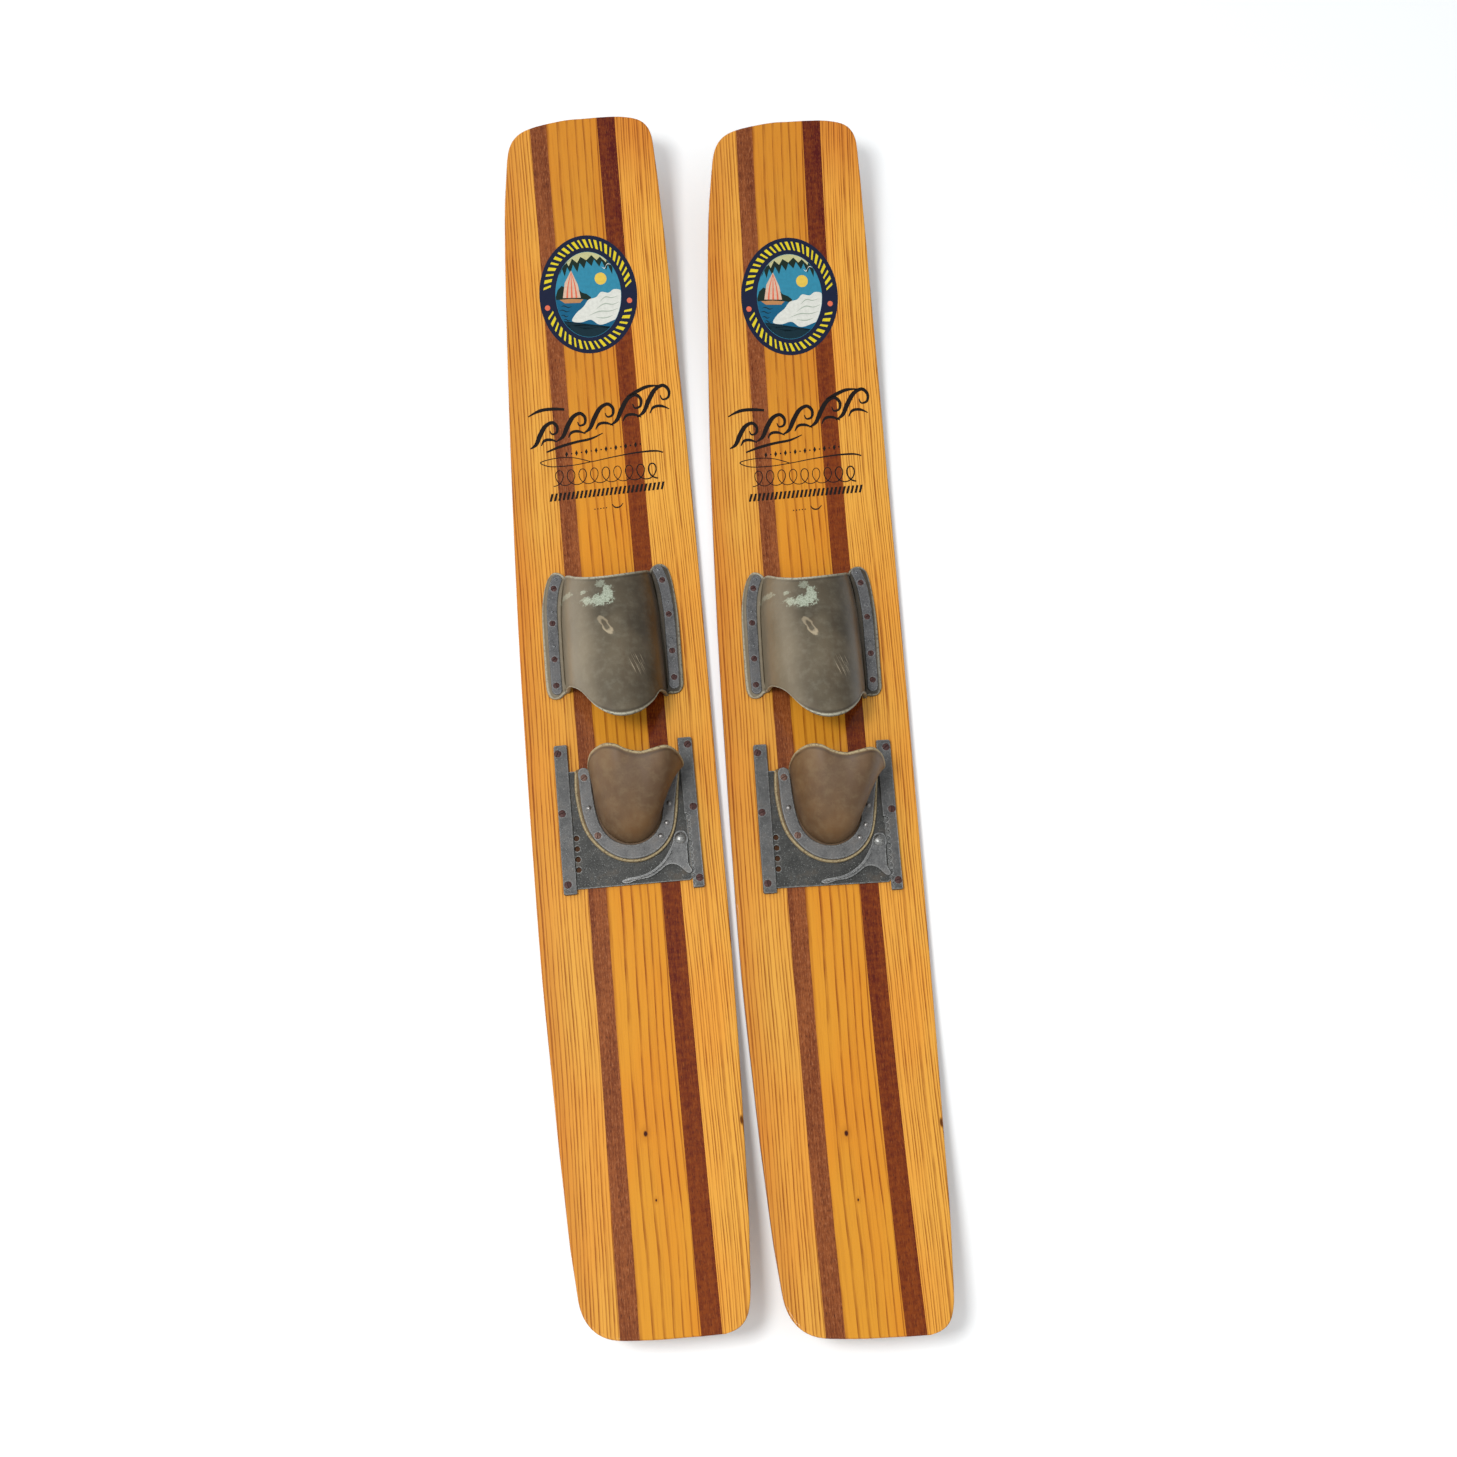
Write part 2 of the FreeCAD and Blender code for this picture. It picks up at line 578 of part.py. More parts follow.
def matching_edge(face, pts):
    """The face's boundary edge that runs from the first to the last point."""
    best = None
    for e in face.Edges:
        a, b = e.Vertexes[0].Point, e.Vertexes[-1].Point
        m = e.valueAt((e.FirstParameter + e.LastParameter) / 2)
        mid = pts[len(pts) // 2]
        k = min((a - pts[0]).Length + (b - pts[-1]).Length,
                (b - pts[0]).Length + (a - pts[-1]).Length)
        k += 0.1 * (m - mid).Length
        if best is None or k < best[0]:
            best = (k, e)
    return best[1]


sides = []
for side in ("low", "high", "start", "end"):
    e1 = matching_edge(outer_face, border(outer_rows, side))
    e2 = matching_edge(inner_face, border(inner_rows, side))
    sides.append(Part.makeRuledSurface(e1, e2))
shell = Part.Shell([outer_face, inner_face] + sides)
shell.sewShape()
cup = Part.Solid(shell)
if cup.Volume < 0:
    cup.reverse()
print("cup valid", cup.isValid(), "closed", shell.isClosed(),
      "volume %.0f" % cup.Volume)
heel_rubber = flange.fuse(cup)
heel_rubber = single(heel_rubber)

# fasteners of the horseshoe
SHOE_SCREWS = [(-44.9, -99.5, 30), (-34.6, -165.6, 75)]
SHOE_RIVETS = [(-42.4, -134.0), (33.6, -171.6), (41.4, -157.6),
               (45.9, -136.0)]
SHOE_SCREW_D = 8.0
shoe_screws = [screw(x, y, SHOE_Z1 - 0.1, SHOE_SCREW_D, 9.2, a)
               for x, y, a in SHOE_SCREWS]
shoe_seats = [hole_for(x, y, SHOE_Z1 - 0.1, SHOE_SCREW_D, 9.2)
              for x, y, a in SHOE_SCREWS]
shoe_rivets = [rivet(x, y, PLATE_Z0 + 0.2, SHOE_Z1, 3.0, 1.6, 1.4)
               for x, y in SHOE_RIVETS]
rivet_seats = [Part.makeCylinder(1.6, SHOE_Z1 - PLATE_Z0 - 0.2 + 0.5,
                                 V(x, y, PLATE_Z0 + 0.2))
               for x, y in SHOE_RIVETS]

# ------------------------------------------------------------ latch

LEVER_PLAN = [
    (54.7, -166.9), (61.0, -169.6), (62.7, -176.5), (61.4, -184.0),
    (60.9, -195.0), (61.3, -205.0), (63.2, -209.0), (64.05, -212.2),
    (62.2, -214.4), (57.7, -212.6), (52.6, -207.2), (46.8, -203.6),
    (40.0, -203.0), (31.2, -208.0), (16.0, -215.8), (2.6, -217.6),
    (-10.5, -219.3), (-12.6, -217.8), (-10.0, -216.0), (4.0, -213.8),
    (16.6, -210.4), (28.0, -203.8), (36.4, -195.6), (42.0, -187.0),
    (46.4, -178.6), (48.6, -170.6),
]
LEVER_Z0 = PLATE_Z1 + PLATE_GAP
LEVER_Z1 = LEVER_Z0 + LEVER_T
lever = prism(LEVER_PLAN, LEVER_Z0, LEVER_Z1)
rib_line = [(-10.0, -217.6), (4.0, -215.4), (17.4, -212.0), (29.0, -205.2),
            (37.6, -196.8), (43.4, -187.6)]
rib_path = Part.BSplineCurve()
rib_path.interpolate([V(x, y, 0) for x, y in rib_line])
ra, rb = [], []
for i in range(13):
    u = rib_path.FirstParameter + (rib_path.LastParameter
                                   - rib_path.FirstParameter) * i / 12
    p, t = rib_path.value(u), rib_path.tangent(u)[0]
    ra.append((p.x - t.y * 1.1, p.y + t.x * 1.1, LEVER_Z1 - 0.5))
    rb.append((p.x + t.y * 1.1, p.y - t.x * 1.1, LEVER_Z1 - 0.5))
rib = Part.Face(Part.Wire([
    curve(ra), Part.makeLine(V(*ra[-1]), V(*rb[-1])), curve(rb[::-1]),
    Part.makeLine(V(*rb[0]), V(*ra[0]))])).extrude(V(0, 0, 3.7))
lever = lever.fuse(rib)
lever = single(lever.cut(Part.makeCylinder(
    PIN_R + PIN_CLEAR, 20, V(PIVOT[0], PIVOT[1], DECK))))

HEAD_Z = LEVER_Z1 + PLATE_GAP
pin_head = Part.Face(Part.Wire([
    Part.Arc(V(0, 0, 3.4), V(PIN_HEAD_R * 0.62, 0, 2.75),
             V(PIN_HEAD_R, 0, 1.1)).toShape(),
    Part.makeLine(V(PIN_HEAD_R, 0, 1.1), V(PIN_HEAD_R - 0.5, 0, 0)),
    Part.makeLine(V(PIN_HEAD_R - 0.5, 0, 0), V(0, 0, 0)),
    Part.makeLine(V(0, 0, 0), V(0, 0, 3.4))])).revolve(
        V(0, 0, 0), V(0, 0, 1), 360)
pin_head.translate(V(PIVOT[0], PIVOT[1], HEAD_Z))
pin = pin_head.fuse(Part.makeCylinder(
    PIN_R, HEAD_Z - PLATE_Z0 + 0.2, V(PIVOT[0], PIVOT[1], PLATE_Z0)))
pin = single(pin.removeSplitter())
plate = plate.cut(Part.makeCylinder(PIN_R, 20, V(PIVOT[0], PIVOT[1], DECK)))

# ------------------------------------------------------------ seats


def cut_near(shape, tools):
    bb = shape.BoundBox
    near = [t for t in tools if bb.intersect(t.BoundBox)]
    return single(shape.cut(near)) if near else shape


ski_seats = toe_seats + toe_pin_seats + rail_seats
for n in planks:
    planks[n] = cut_near(planks[n], ski_seats)
toe = cut_near(toe, toe_seats + toe_pin_seats + [strip_left, strip_right])
strip_left = cut_near(strip_left, toe_seats + toe_pin_seats)
strip_right = cut_near(strip_right, toe_seats + toe_pin_seats)
rail_left = cut_near(rail_left, rail_seats)
rail_right = cut_near(rail_right, rail_seats)
heel_seats = shoe_seats + rivet_seats
shoe = cut_near(shoe, heel_seats)
heel_rubber = cut_near(heel_rubber, heel_seats)
plate = single(plate.cut(heel_seats))

parts = {}
for n, s in planks.items():
    parts[n] = s
parts["decal"] = decal
parts["toe_rubber"] = toe
parts["toe_strip_left"] = strip_left
parts["toe_strip_right"] = strip_right
parts["toe_screws"] = Part.makeCompound(toe_screws)
parts["toe_pins"] = Part.makeCompound(toe_pins)
parts["rail_left"] = rail_left
parts["rail_right"] = rail_right
parts["rail_screws"] = Part.makeCompound(rail_screws)
parts["heel_plate"] = plate
parts["heel_rubber"] = heel_rubber
parts["horseshoe"] = shoe
parts["horseshoe_screws"] = Part.makeCompound(shoe_screws)
parts["horseshoe_rivets"] = Part.makeCompound(shoe_rivets)
parts["latch_lever"] = lever
parts["latch_pin"] = pin

# ------------------------------------------------------------ place the pair


def place(shape, side):
    s = shape.copy()
    sign = -1 if side == "left" else 1
    s.rotate(V(0, 0, 0), V(0, 0, 1), -sign * SPLAY_DEG)
    s.translate(V(sign * SKI_OFFSET, -sign * STAGGER, 0))
    return s


placed = {}
for side in ("left", "right"):
    for n, s in parts.items():
        placed[side + "_" + n] = place(s, side)
box_all = Part.makeCompound(list(placed.values())).optimalBoundingBox(False)
shift = V(-(box_all.XMin + box_all.XMax) / 2,
          -(box_all.YMin + box_all.YMax) / 2, 0)
print("shift", tuple(round(c, 4) for c in shift),
      "box %.2f %.2f %.2f" % (box_all.XLength, box_all.YLength,
                              box_all.ZLength), "zmin %.4f" % box_all.ZMin)

os.makedirs("parts", exist_ok=True)
for n, s in placed.items():
    s.translate(shift)
    if not s.isValid():
        print("not valid:", n)
    s.exportStep("parts/" + n + ".step")
for side in ("left", "right"):
    q = place(Part.Vertex(PIVOT[0], PIVOT[1], LEVER_Z0), side)
    q.translate(shift)
    print(side, "pivot", [round(c, 3) for c in q.Point])
print(len(placed), "parts")
for n in parts:
    print("  %-20s solids %d volume %.0f" % (n, len(parts[n].Solids),
                                            parts[n].Volume))
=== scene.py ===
import math

import bmesh
import bpy
import numpy as np
from mathutils import Matrix, Vector
from mathutils.bvhtree import BVHTree


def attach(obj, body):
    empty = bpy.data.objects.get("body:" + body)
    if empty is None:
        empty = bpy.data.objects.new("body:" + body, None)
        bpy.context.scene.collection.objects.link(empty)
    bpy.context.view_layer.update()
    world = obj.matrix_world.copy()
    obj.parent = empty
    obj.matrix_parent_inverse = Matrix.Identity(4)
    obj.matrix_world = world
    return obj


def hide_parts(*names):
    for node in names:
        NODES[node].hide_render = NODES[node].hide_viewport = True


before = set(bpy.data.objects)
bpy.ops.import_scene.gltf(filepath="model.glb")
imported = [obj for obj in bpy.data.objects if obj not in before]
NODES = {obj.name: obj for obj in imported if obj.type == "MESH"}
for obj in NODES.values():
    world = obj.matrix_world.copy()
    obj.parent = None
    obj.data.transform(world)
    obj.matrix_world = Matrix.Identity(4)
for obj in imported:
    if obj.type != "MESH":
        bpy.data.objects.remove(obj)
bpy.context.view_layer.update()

# ---------------------------------------------------------------- placement
# One ski is described in its own frame in millimetres, as in the CAD model.
SPLAY = math.radians(0.87)
SHIFT = (-0.3121, 0.1184)
DECK = 12.7
HALF = 686.0
SIDES = {"left": -1.0, "right": 1.0}


def side_angle(side):
    return -SIDES[side] * SPLAY


def side_origin(side):
    s = SIDES[side]
    return (s * 111.4 + SHIFT[0], -s * 8.1 + SHIFT[1])


def to_row(points, side):
    """Ski frame in mm to the row frame in metres."""
    p = np.asarray(points, float)
    a = side_angle(side)
    c, s = math.cos(a), math.sin(a)
    ox, oy = side_origin(side)
    out = np.empty_like(p)
    out[..., 0] = (p[..., 0] * c - p[..., 1] * s + ox) / 1000.0
    out[..., 1] = (p[..., 0] * s + p[..., 1] * c + oy) / 1000.0
    out[..., 2] = p[..., 2] / 1000.0
    return out


def rise_at(y):
    """Height of the deck's upturn at y, in mm."""
    y = np.asarray(y, float)

    def arc(u, d, h):
        r = (d * d + h * h) / (2 * h)
        u = np.clip(u, 0, r)
        return r - np.sqrt(r * r - u * u)
    return arc(y - 160.0, HALF - 160.0, 80.0) + arc(-236.0 - y, HALF - 236.0, 60.0)


# ---------------------------------------------------------------- shader kit


class Shader:
    """A small helper that writes node trees as expressions."""

    def __init__(self, name, side=None):
        self.mat = bpy.data.materials.new(name)
        self.mat.use_nodes = True
        self.t = self.mat.node_tree
        self.t.nodes.clear()
        self.out = self.t.nodes.new("ShaderNodeOutputMaterial")
        self.side = side

    def node(self, kind, **props):
        n = self.t.nodes.new(kind)
        for k, v in props.items():
            setattr(n, k, v)
        return n

    def put(self, socket, value):
        if value is None:
            return
        if isinstance(value, bpy.types.NodeSocket):
            self.t.links.new(value, socket)
        else:
            if socket.type == "RGBA" and len(value) == 3:
                value = (*value, 1.0)
            socket.default_value = value

    def math(self, op, a, b=None, c=None, clamp=False):
        n = self.node("ShaderNodeMath", operation=op, use_clamp=clamp)
        for i, v in enumerate((a, b, c)):
            if v is not None:
                self.put(n.inputs[i], v)
        return n.outputs[0]

    def add(self, a, b):
        return self.math("ADD", a, b)

    def sub(self, a, b):
        return self.math("SUBTRACT", a, b)

    def mul(self, a, b):
        return self.math("MULTIPLY", a, b)

    def mad(self, a, b, c):
        return self.math("MULTIPLY_ADD", a, b, c)

    def clamp01(self, a):
        return self.math("MULTIPLY", a, 1.0, clamp=True)

    def fract(self, a):
        return self.math("FRACT", a)

    def maxi(self, a, b):
        return self.math("MAXIMUM", a, b)

    def mini(self, a, b):
        return self.math("MINIMUM", a, b)

    def power(self, a, b):
        return self.math("POWER", a, b)

    def remap(self, v, a, b, c=0.0, d=1.0, smooth=True):
        n = self.node("ShaderNodeMapRange",
                      interpolation_type="SMOOTHSTEP" if smooth else "LINEAR")
        self.put(n.inputs[0], v)
        for i, x in enumerate((a, b, c, d)):
            self.put(n.inputs[i + 1], x)
        return n.outputs[0]

    def local(self):
        """Position in the ski's own frame, in mm, as x, y, z."""
        tc = self.node("ShaderNodeTexCoord")
        m = self.node("ShaderNodeMapping", vector_type="TEXTURE")
        ox, oy = side_origin(self.side)
        m.inputs["Location"].default_value = (ox / 1000, oy / 1000, 0)
        m.inputs["Rotation"].default_value = (0, 0, side_angle(self.side))
        m.inputs["Scale"].default_value = (0.001, 0.001, 0.001)
        self.t.links.new(tc.outputs["Object"], m.inputs["Vector"])
        s = self.node("ShaderNodeSeparateXYZ")
        self.t.links.new(m.outputs[0], s.inputs[0])
        return s.outputs[0], s.outputs[1], s.outputs[2]

    def vec(self, x, y, z=0.0):
        n = self.node("ShaderNodeCombineXYZ")
        for i, v in enumerate((x, y, z)):
            self.put(n.inputs[i], v)
        return n.outputs[0]

    def noise(self, x, y, z=0.0, detail=2.0, rough=0.5, distort=0.0):
        n = self.node("ShaderNodeTexNoise", noise_dimensions="3D")
        self.put(n.inputs["Vector"], self.vec(x, y, z))
        n.inputs["Scale"].default_value = 1.0
        n.inputs["Detail"].default_value = detail
        n.inputs["Roughness"].default_value = rough
        n.inputs["Distortion"].default_value = distort
        return n.outputs[0]

    def voronoi(self, x, y, z=0.0, feature="F1", rand=1.0):
        n = self.node("ShaderNodeTexVoronoi", feature=feature)
        self.put(n.inputs["Vector"], self.vec(x, y, z))
        n.inputs["Scale"].default_value = 1.0
        n.inputs["Randomness"].default_value = rand
        return n.outputs["Distance"]

    def mix(self, fac, a, b, blend="MIX"):
        n = self.node("ShaderNodeMix", data_type="RGBA", blend_type=blend)
        self.put(n.inputs[0], fac)
        self.put(n.inputs[6], a)
        self.put(n.inputs[7], b)
        return n.outputs[2]

    def ramp(self, fac, stops):
        n = self.node("ShaderNodeValToRGB")
        r = n.color_ramp
        while len(r.elements) > 1:
            r.elements.remove(r.elements[-1])
        r.elements[0].position = stops[0][0]
        r.elements[0].color = (*stops[0][1], 1)
        for p, c in stops[1:]:
            e = r.elements.new(p)
            e.color = (*c, 1)
        self.put(n.inputs[0], fac)
        return n.outputs[0]

    def attribute(self, name):
        n = self.node("ShaderNodeAttribute", attribute_name=name)
        return n.outputs["Fac"]

    def normal_z(self):
        g = self.node("ShaderNodeNewGeometry")
        s = self.node("ShaderNodeSeparateXYZ")
        self.t.links.new(g.outputs["Normal"], s.inputs[0])
        return s.outputs[2]

    def above(self, y, z):
        """Height over the bent deck's underside, so grain follows the bend."""
        out = z
        for start, d, h, sign in ((160.0, HALF - 160.0, 80.0, 1.0),
                                  (-236.0, HALF - 236.0, 60.0, -1.0)):
            r = (d * d + h * h) / (2 * h)
            u = self.maxi(self.mul(self.sub(y, start), sign), 0.0)
            u = self.mini(u, r)
            root = self.math("SQRT", self.sub(r * r, self.mul(u, u)))
            out = self.sub(out, self.sub(r, root))
        return out

    def edge_mask(self, radius):
        """1 along hard edges, 0 on the flats."""
        b = self.node("ShaderNodeBevel", samples=4)
        b.inputs["Radius"].default_value = radius
        g = self.node("ShaderNodeNewGeometry")
        d = self.node("ShaderNodeVectorMath", operation="DOT_PRODUCT")
        self.t.links.new(b.outputs[0], d.inputs[0])
        self.t.links.new(g.outputs["Normal"], d.inputs[1])
        return self.remap(d.outputs["Value"], 0.99, 0.86, 0.0, 1.0)

    def bump(self, height, strength, distance, normal=None):
        n = self.node("ShaderNodeBump")
        n.inputs["Strength"].default_value = strength
        n.inputs["Distance"].default_value = distance
        self.put(n.inputs["Height"], height)
        if normal is not None:
            self.put(n.inputs["Normal"], normal)
        return n.outputs[0]

    def surface(self, color, rough, metal=0.0, normal=None, coat=0.0,
                coat_rough=0.05, ior=1.5, spec=0.5, sheen=0.0, alpha=None):
        b = self.node("ShaderNodeBsdfPrincipled")
        self.put(b.inputs["Base Color"], color)
        self.put(b.inputs["Roughness"], rough)
        self.put(b.inputs["Metallic"], metal)
        self.put(b.inputs["Normal"], normal)
        b.inputs["Coat Weight"].default_value = coat
        b.inputs["Coat Roughness"].default_value = coat_rough
        b.inputs["IOR"].default_value = ior
        b.inputs["Specular IOR Level"].default_value = spec
        b.inputs["Sheen Weight"].default_value = sheen
        if alpha is not None:
            self.put(b.inputs["Alpha"], alpha)
        self.t.links.new(b.outputs[0], self.out.inputs[0])
        return self.mat


def srgb(r, g, b, k=1.0):
    def f(c):
        c /= 255.0
        return (c / 12.92 if c <= 0.04045 else ((c + 0.055) / 1.055) ** 2.4) * k
    return (f(r), f(g), f(b))


LIT, VEIL = 1.38, 0.014


def seen(r, g, b):
    """Base colour that looks like this screen colour in the studio light."""
    return tuple(max(0.002, (c - VEIL) / LIT) for c in srgb(r, g, b))


# ---------------------------------------------------------------- materials


def wood_ash(side, which):
    """Varnished ash: growth lines with pores, seen on face and edge."""
    s = Shader("ash_%s_%s" % (which, side), side)
    x, y, z = s.local()
    z = s.above(y, z)
    seed = {"left": 3.1, "centre": 11.7, "right": 23.3}[which]
    wander = s.sub(s.noise(s.mul(x, 0.006), s.mad(y, 0.0021, seed),
                           s.mul(z, 0.01), 2.0, 0.5), 0.5)
    ripple = s.sub(s.noise(s.mul(x, 0.05), s.mad(y, 0.012, seed),
                           s.mul(z, 0.05), 1.0, 0.5), 0.5)
    tilt = s.mul(s.sub(z, DECK), 0.55)
    if which == "centre":
        xr = s.add(s.add(x, 31.0), s.add(s.mul(wander, 26.0),
                                         s.mul(ripple, 2.2)))
        xr = s.add(xr, tilt)
        phase = s.mul(xr, s.mad(xr, 0.00065, 0.062))
        width, sharp = 0.34, 1.0
    elif which == "left":
        xr = s.add(s.add(x, tilt), s.add(s.mul(wander, 16.0),
                                         s.mul(ripple, 1.6)))
        xr = s.add(xr, s.mul(s.sub(s.noise(s.mul(xr, 0.13), seed, 0.0, 1.0),
                                   0.5), 9.0))
        phase = s.mul(xr, 1 / 3.9)
        width, sharp = 0.55, 1.0
    else:
        xr = s.add(s.add(x, tilt), s.add(s.mul(wander, 18.0),
                                         s.mul(ripple, 1.8)))
        xr = s.add(xr, s.mul(s.sub(s.noise(s.mul(xr, 0.15), seed, 0.0, 1.0),
                                   0.5), 7.0))
        phase = s.mul(xr, 1 / 3.25)
        width, sharp = 0.55, 1.0
    saw = s.fract(phase)
    fall = s.remap(saw, 0.0, width, 1.0, 0.0)
    rise = s.remap(saw, 0.94, 1.0, 0.0, 1.0)
    early = s.maxi(fall, rise)
    broken = s.noise(s.mul(x, 0.16), s.mad(y, 0.018, seed), s.mul(z, 0.16),
                     2.0, 0.6)
    line = s.mul(early, s.remap(broken, 0.28, 0.66, 0.35, 1.0))
    pores = s.noise(s.mul(x, 1.9), s.mad(y, 0.075, seed), s.mul(z, 1.9),
                    2.0, 0.75)
    pores = s.remap(pores, 0.54, 0.72, 0.0, 1.0)
    pores = s.mul(pores, s.mad(early, 0.75, 0.25))
    fibre = s.noise(s.mul(x, 0.9), s.mad(y, 0.02, seed), s.mul(z, 0.9),
                    3.0, 0.7)
    cloud = s.noise(s.mul(x, 0.016), s.mad(y, 0.005, seed), 0.0, 2.0, 0.5)
    if which == "centre":
        light, dark = seen(232, 161, 58), seen(148, 78, 12)
        amount = s.add(s.mul(line, 0.85), s.mul(pores, 0.24))
    elif which == "left":
        light, dark = seen(241, 177, 80), seen(150, 80, 18)
        amount = s.add(s.mul(line, 0.86), s.mul(pores, 0.30))
    else:
        light, dark = seen(246, 180, 80), seen(150, 80, 14)
        amount = s.add(s.mul(line, 0.86), s.mul(pores, 0.30))
    amount = s.add(amount, s.mul(s.sub(fibre, 0.5), 0.80))
    bands = s.noise(s.mul(x, 0.24), s.mad(y, 0.005, seed + 2.0),
                    s.mul(z, 0.24), 2.0, 0.6)
    amount = s.add(amount, s.mul(s.sub(bands, 0.5), 0.70))
    col = s.mix(s.clamp01(amount), light, dark)
    # slow drift between amber and straw along the plank
    warm = s.remap(cloud, 0.32, 0.68, 0.0, 1.0)
    col = s.mix(s.mul(warm, 0.40), col, s.mix(1.0, col, srgb(255, 216, 170),
                                              "MULTIPLY"))
    if which == "left":
        xl = s.mad(s.power(s.math("ABSOLUTE", s.add(y, 100.0)), 2.0),
                   0.000048, -107.4)
        edge = s.remap(s.sub(x, xl), 0.0, 30.0, 1.0, 0.0)
        col = s.mix(s.mul(edge, 0.60), col,
                    s.mix(1.0, col, srgb(224, 196, 176), "MULTIPLY"))
    if which == "right":
        tip = s.mul(s.remap(y, 560.0, 680.0, 0.0, 1.0), 0.65)
        col = s.mix(tip, col, s.mix(1.0, col, srgb(225, 182, 150),
                                    "MULTIPLY"))
    if which == "centre":
        col = s.mix(s.mul(s.remap(y, 140.0, 420.0), 0.75), col,
                    s.mix(1.0, col, srgb(238, 232, 246), "MULTIPLY"))
        for kx, ky, r in ((-8.9, -485.8, 1.7), (-3.5, -553.0, 0.8)):
            d = s.math("SQRT", s.add(
                s.power(s.math("ABSOLUTE", s.add(x, -kx)), 2.0),
                s.mul(s.power(s.math("ABSOLUTE", s.add(y, -ky)), 2.0), 0.45)))
            k = s.remap(d, r * 0.7, r * 1.6, 1.0, 0.0)
            halo = s.remap(d, r, r * 5.0, 0.35, 0.0)
            col = s.mix(halo, col, seen(176, 106, 36))
            col = s.mix(k, col, seen(74, 40, 20))
    if which == "right":
        d = s.math("SQRT", s.add(
            s.power(s.math("ABSOLUTE", s.add(x, -91.5)), 2.0),
            s.mul(s.power(s.math("ABSOLUTE", s.add(y, 481.0)), 2.0), 0.1)))
        col = s.mix(s.remap(d, 0.8, 2.2, 1.0, 0.0), col, seen(110, 64, 28))
    if which == "left":
        # painted shade on the deck under the slide's row of holes, so the holes
        # look dark
        hole_shade = s.mul(s.remap(s.math("ABSOLUTE", s.add(x, 58.4)), 5.0, 6.5,
                             1.0, 0.0),
                     s.remap(s.math("ABSOLUTE", s.add(y, 172.0)), 32.0, 35.0,
                             1.0, 0.0))
        col = s.mix(s.mul(hole_shade, 0.92), col, seen(58, 38, 28))
    # the steep side faces are made darker than the deck
    flat = s.remap(s.math("ABSOLUTE", s.normal_z()), 0.25, 0.75, 0.0, 1.0)
    col = s.mix(flat, s.mix(1.0, col, srgb(196, 170, 150), "MULTIPLY"), col)
    height = s.add(s.mul(pores, -0.6), s.mul(early, -0.4))
    nrm = s.bump(height, 0.25, 0.00012)
    rough = s.remap(fibre, 0.3, 0.7, 0.30, 0.42)
    return s.surface(col, rough, normal=nrm, coat=0.25, coat_rough=0.10,
                     spec=0.06)


def wood_mahogany(side, which):
    s = Shader("mahogany_%s_%s" % (which, side), side)
    x, y, z = s.local()
    z = s.above(y, z)
    seed = 5.0 if which == "left" else 17.0
    slow = s.noise(s.mul(x, 0.05), s.mad(y, 0.004, seed), s.mul(z, 0.05),
                   2.0, 0.55)
    streak = s.noise(s.mul(x, 0.55), s.mad(y, 0.012, seed), s.mul(z, 0.55),
                     3.0, 0.65)
    fleck = s.noise(s.mul(x, 1.1), s.mad(y, 0.14, seed), s.mul(z, 1.1),
                    2.0, 0.8)
    figure = s.noise(s.mul(x, 0.10), s.mad(y, 0.16, seed), 0.0, 3.0, 0.7)
    if which == "left":
        c0, c1, c2 = seen(100, 48, 24), seen(164, 96, 56), seen(188, 124, 84)
        fig = 0.22
    else:
        c0, c1, c2 = seen(92, 36, 8), seen(140, 70, 30), seen(160, 92, 48)
        fig = 0.42
    base = s.add(s.mul(s.remap(slow, 0.3, 0.7), 0.45),
                 s.add(s.mul(s.remap(streak, 0.35, 0.65), 0.40),
                       s.mul(s.remap(figure, 0.36, 0.64), fig)))
    # the right-hand stripe is paler in the middle, darker at the tip
    if which == "right":
        base = s.add(base, s.mul(s.remap(y, -80.0, 160.0, 0.0, 1.0), 0.20))
        base = s.sub(base, s.mul(s.remap(y, 400.0, 640.0, 0.0, 1.0), 0.55))
    col = s.mix(s.clamp01(base), c0, c1)
    light = s.mul(s.remap(fleck, 0.54, 0.68), 0.65)
    col = s.mix(light, col, c2)
    pore = s.mul(s.remap(fleck, 0.44, 0.30), 0.75)
    col = s.mix(pore, col, seen(58, 28, 18))
    flat = s.remap(s.math("ABSOLUTE", s.normal_z()), 0.25, 0.75, 0.0, 1.0)
    col = s.mix(flat, s.mix(1.0, col, srgb(196, 170, 150), "MULTIPLY"), col)
    nrm = s.bump(s.mul(pore, -1.0), 0.25, 0.00012)
    return s.surface(col, s.remap(streak, 0.3, 0.7, 0.32, 0.44), normal=nrm,
                     coat=0.25, coat_rough=0.10, spec=0.06)


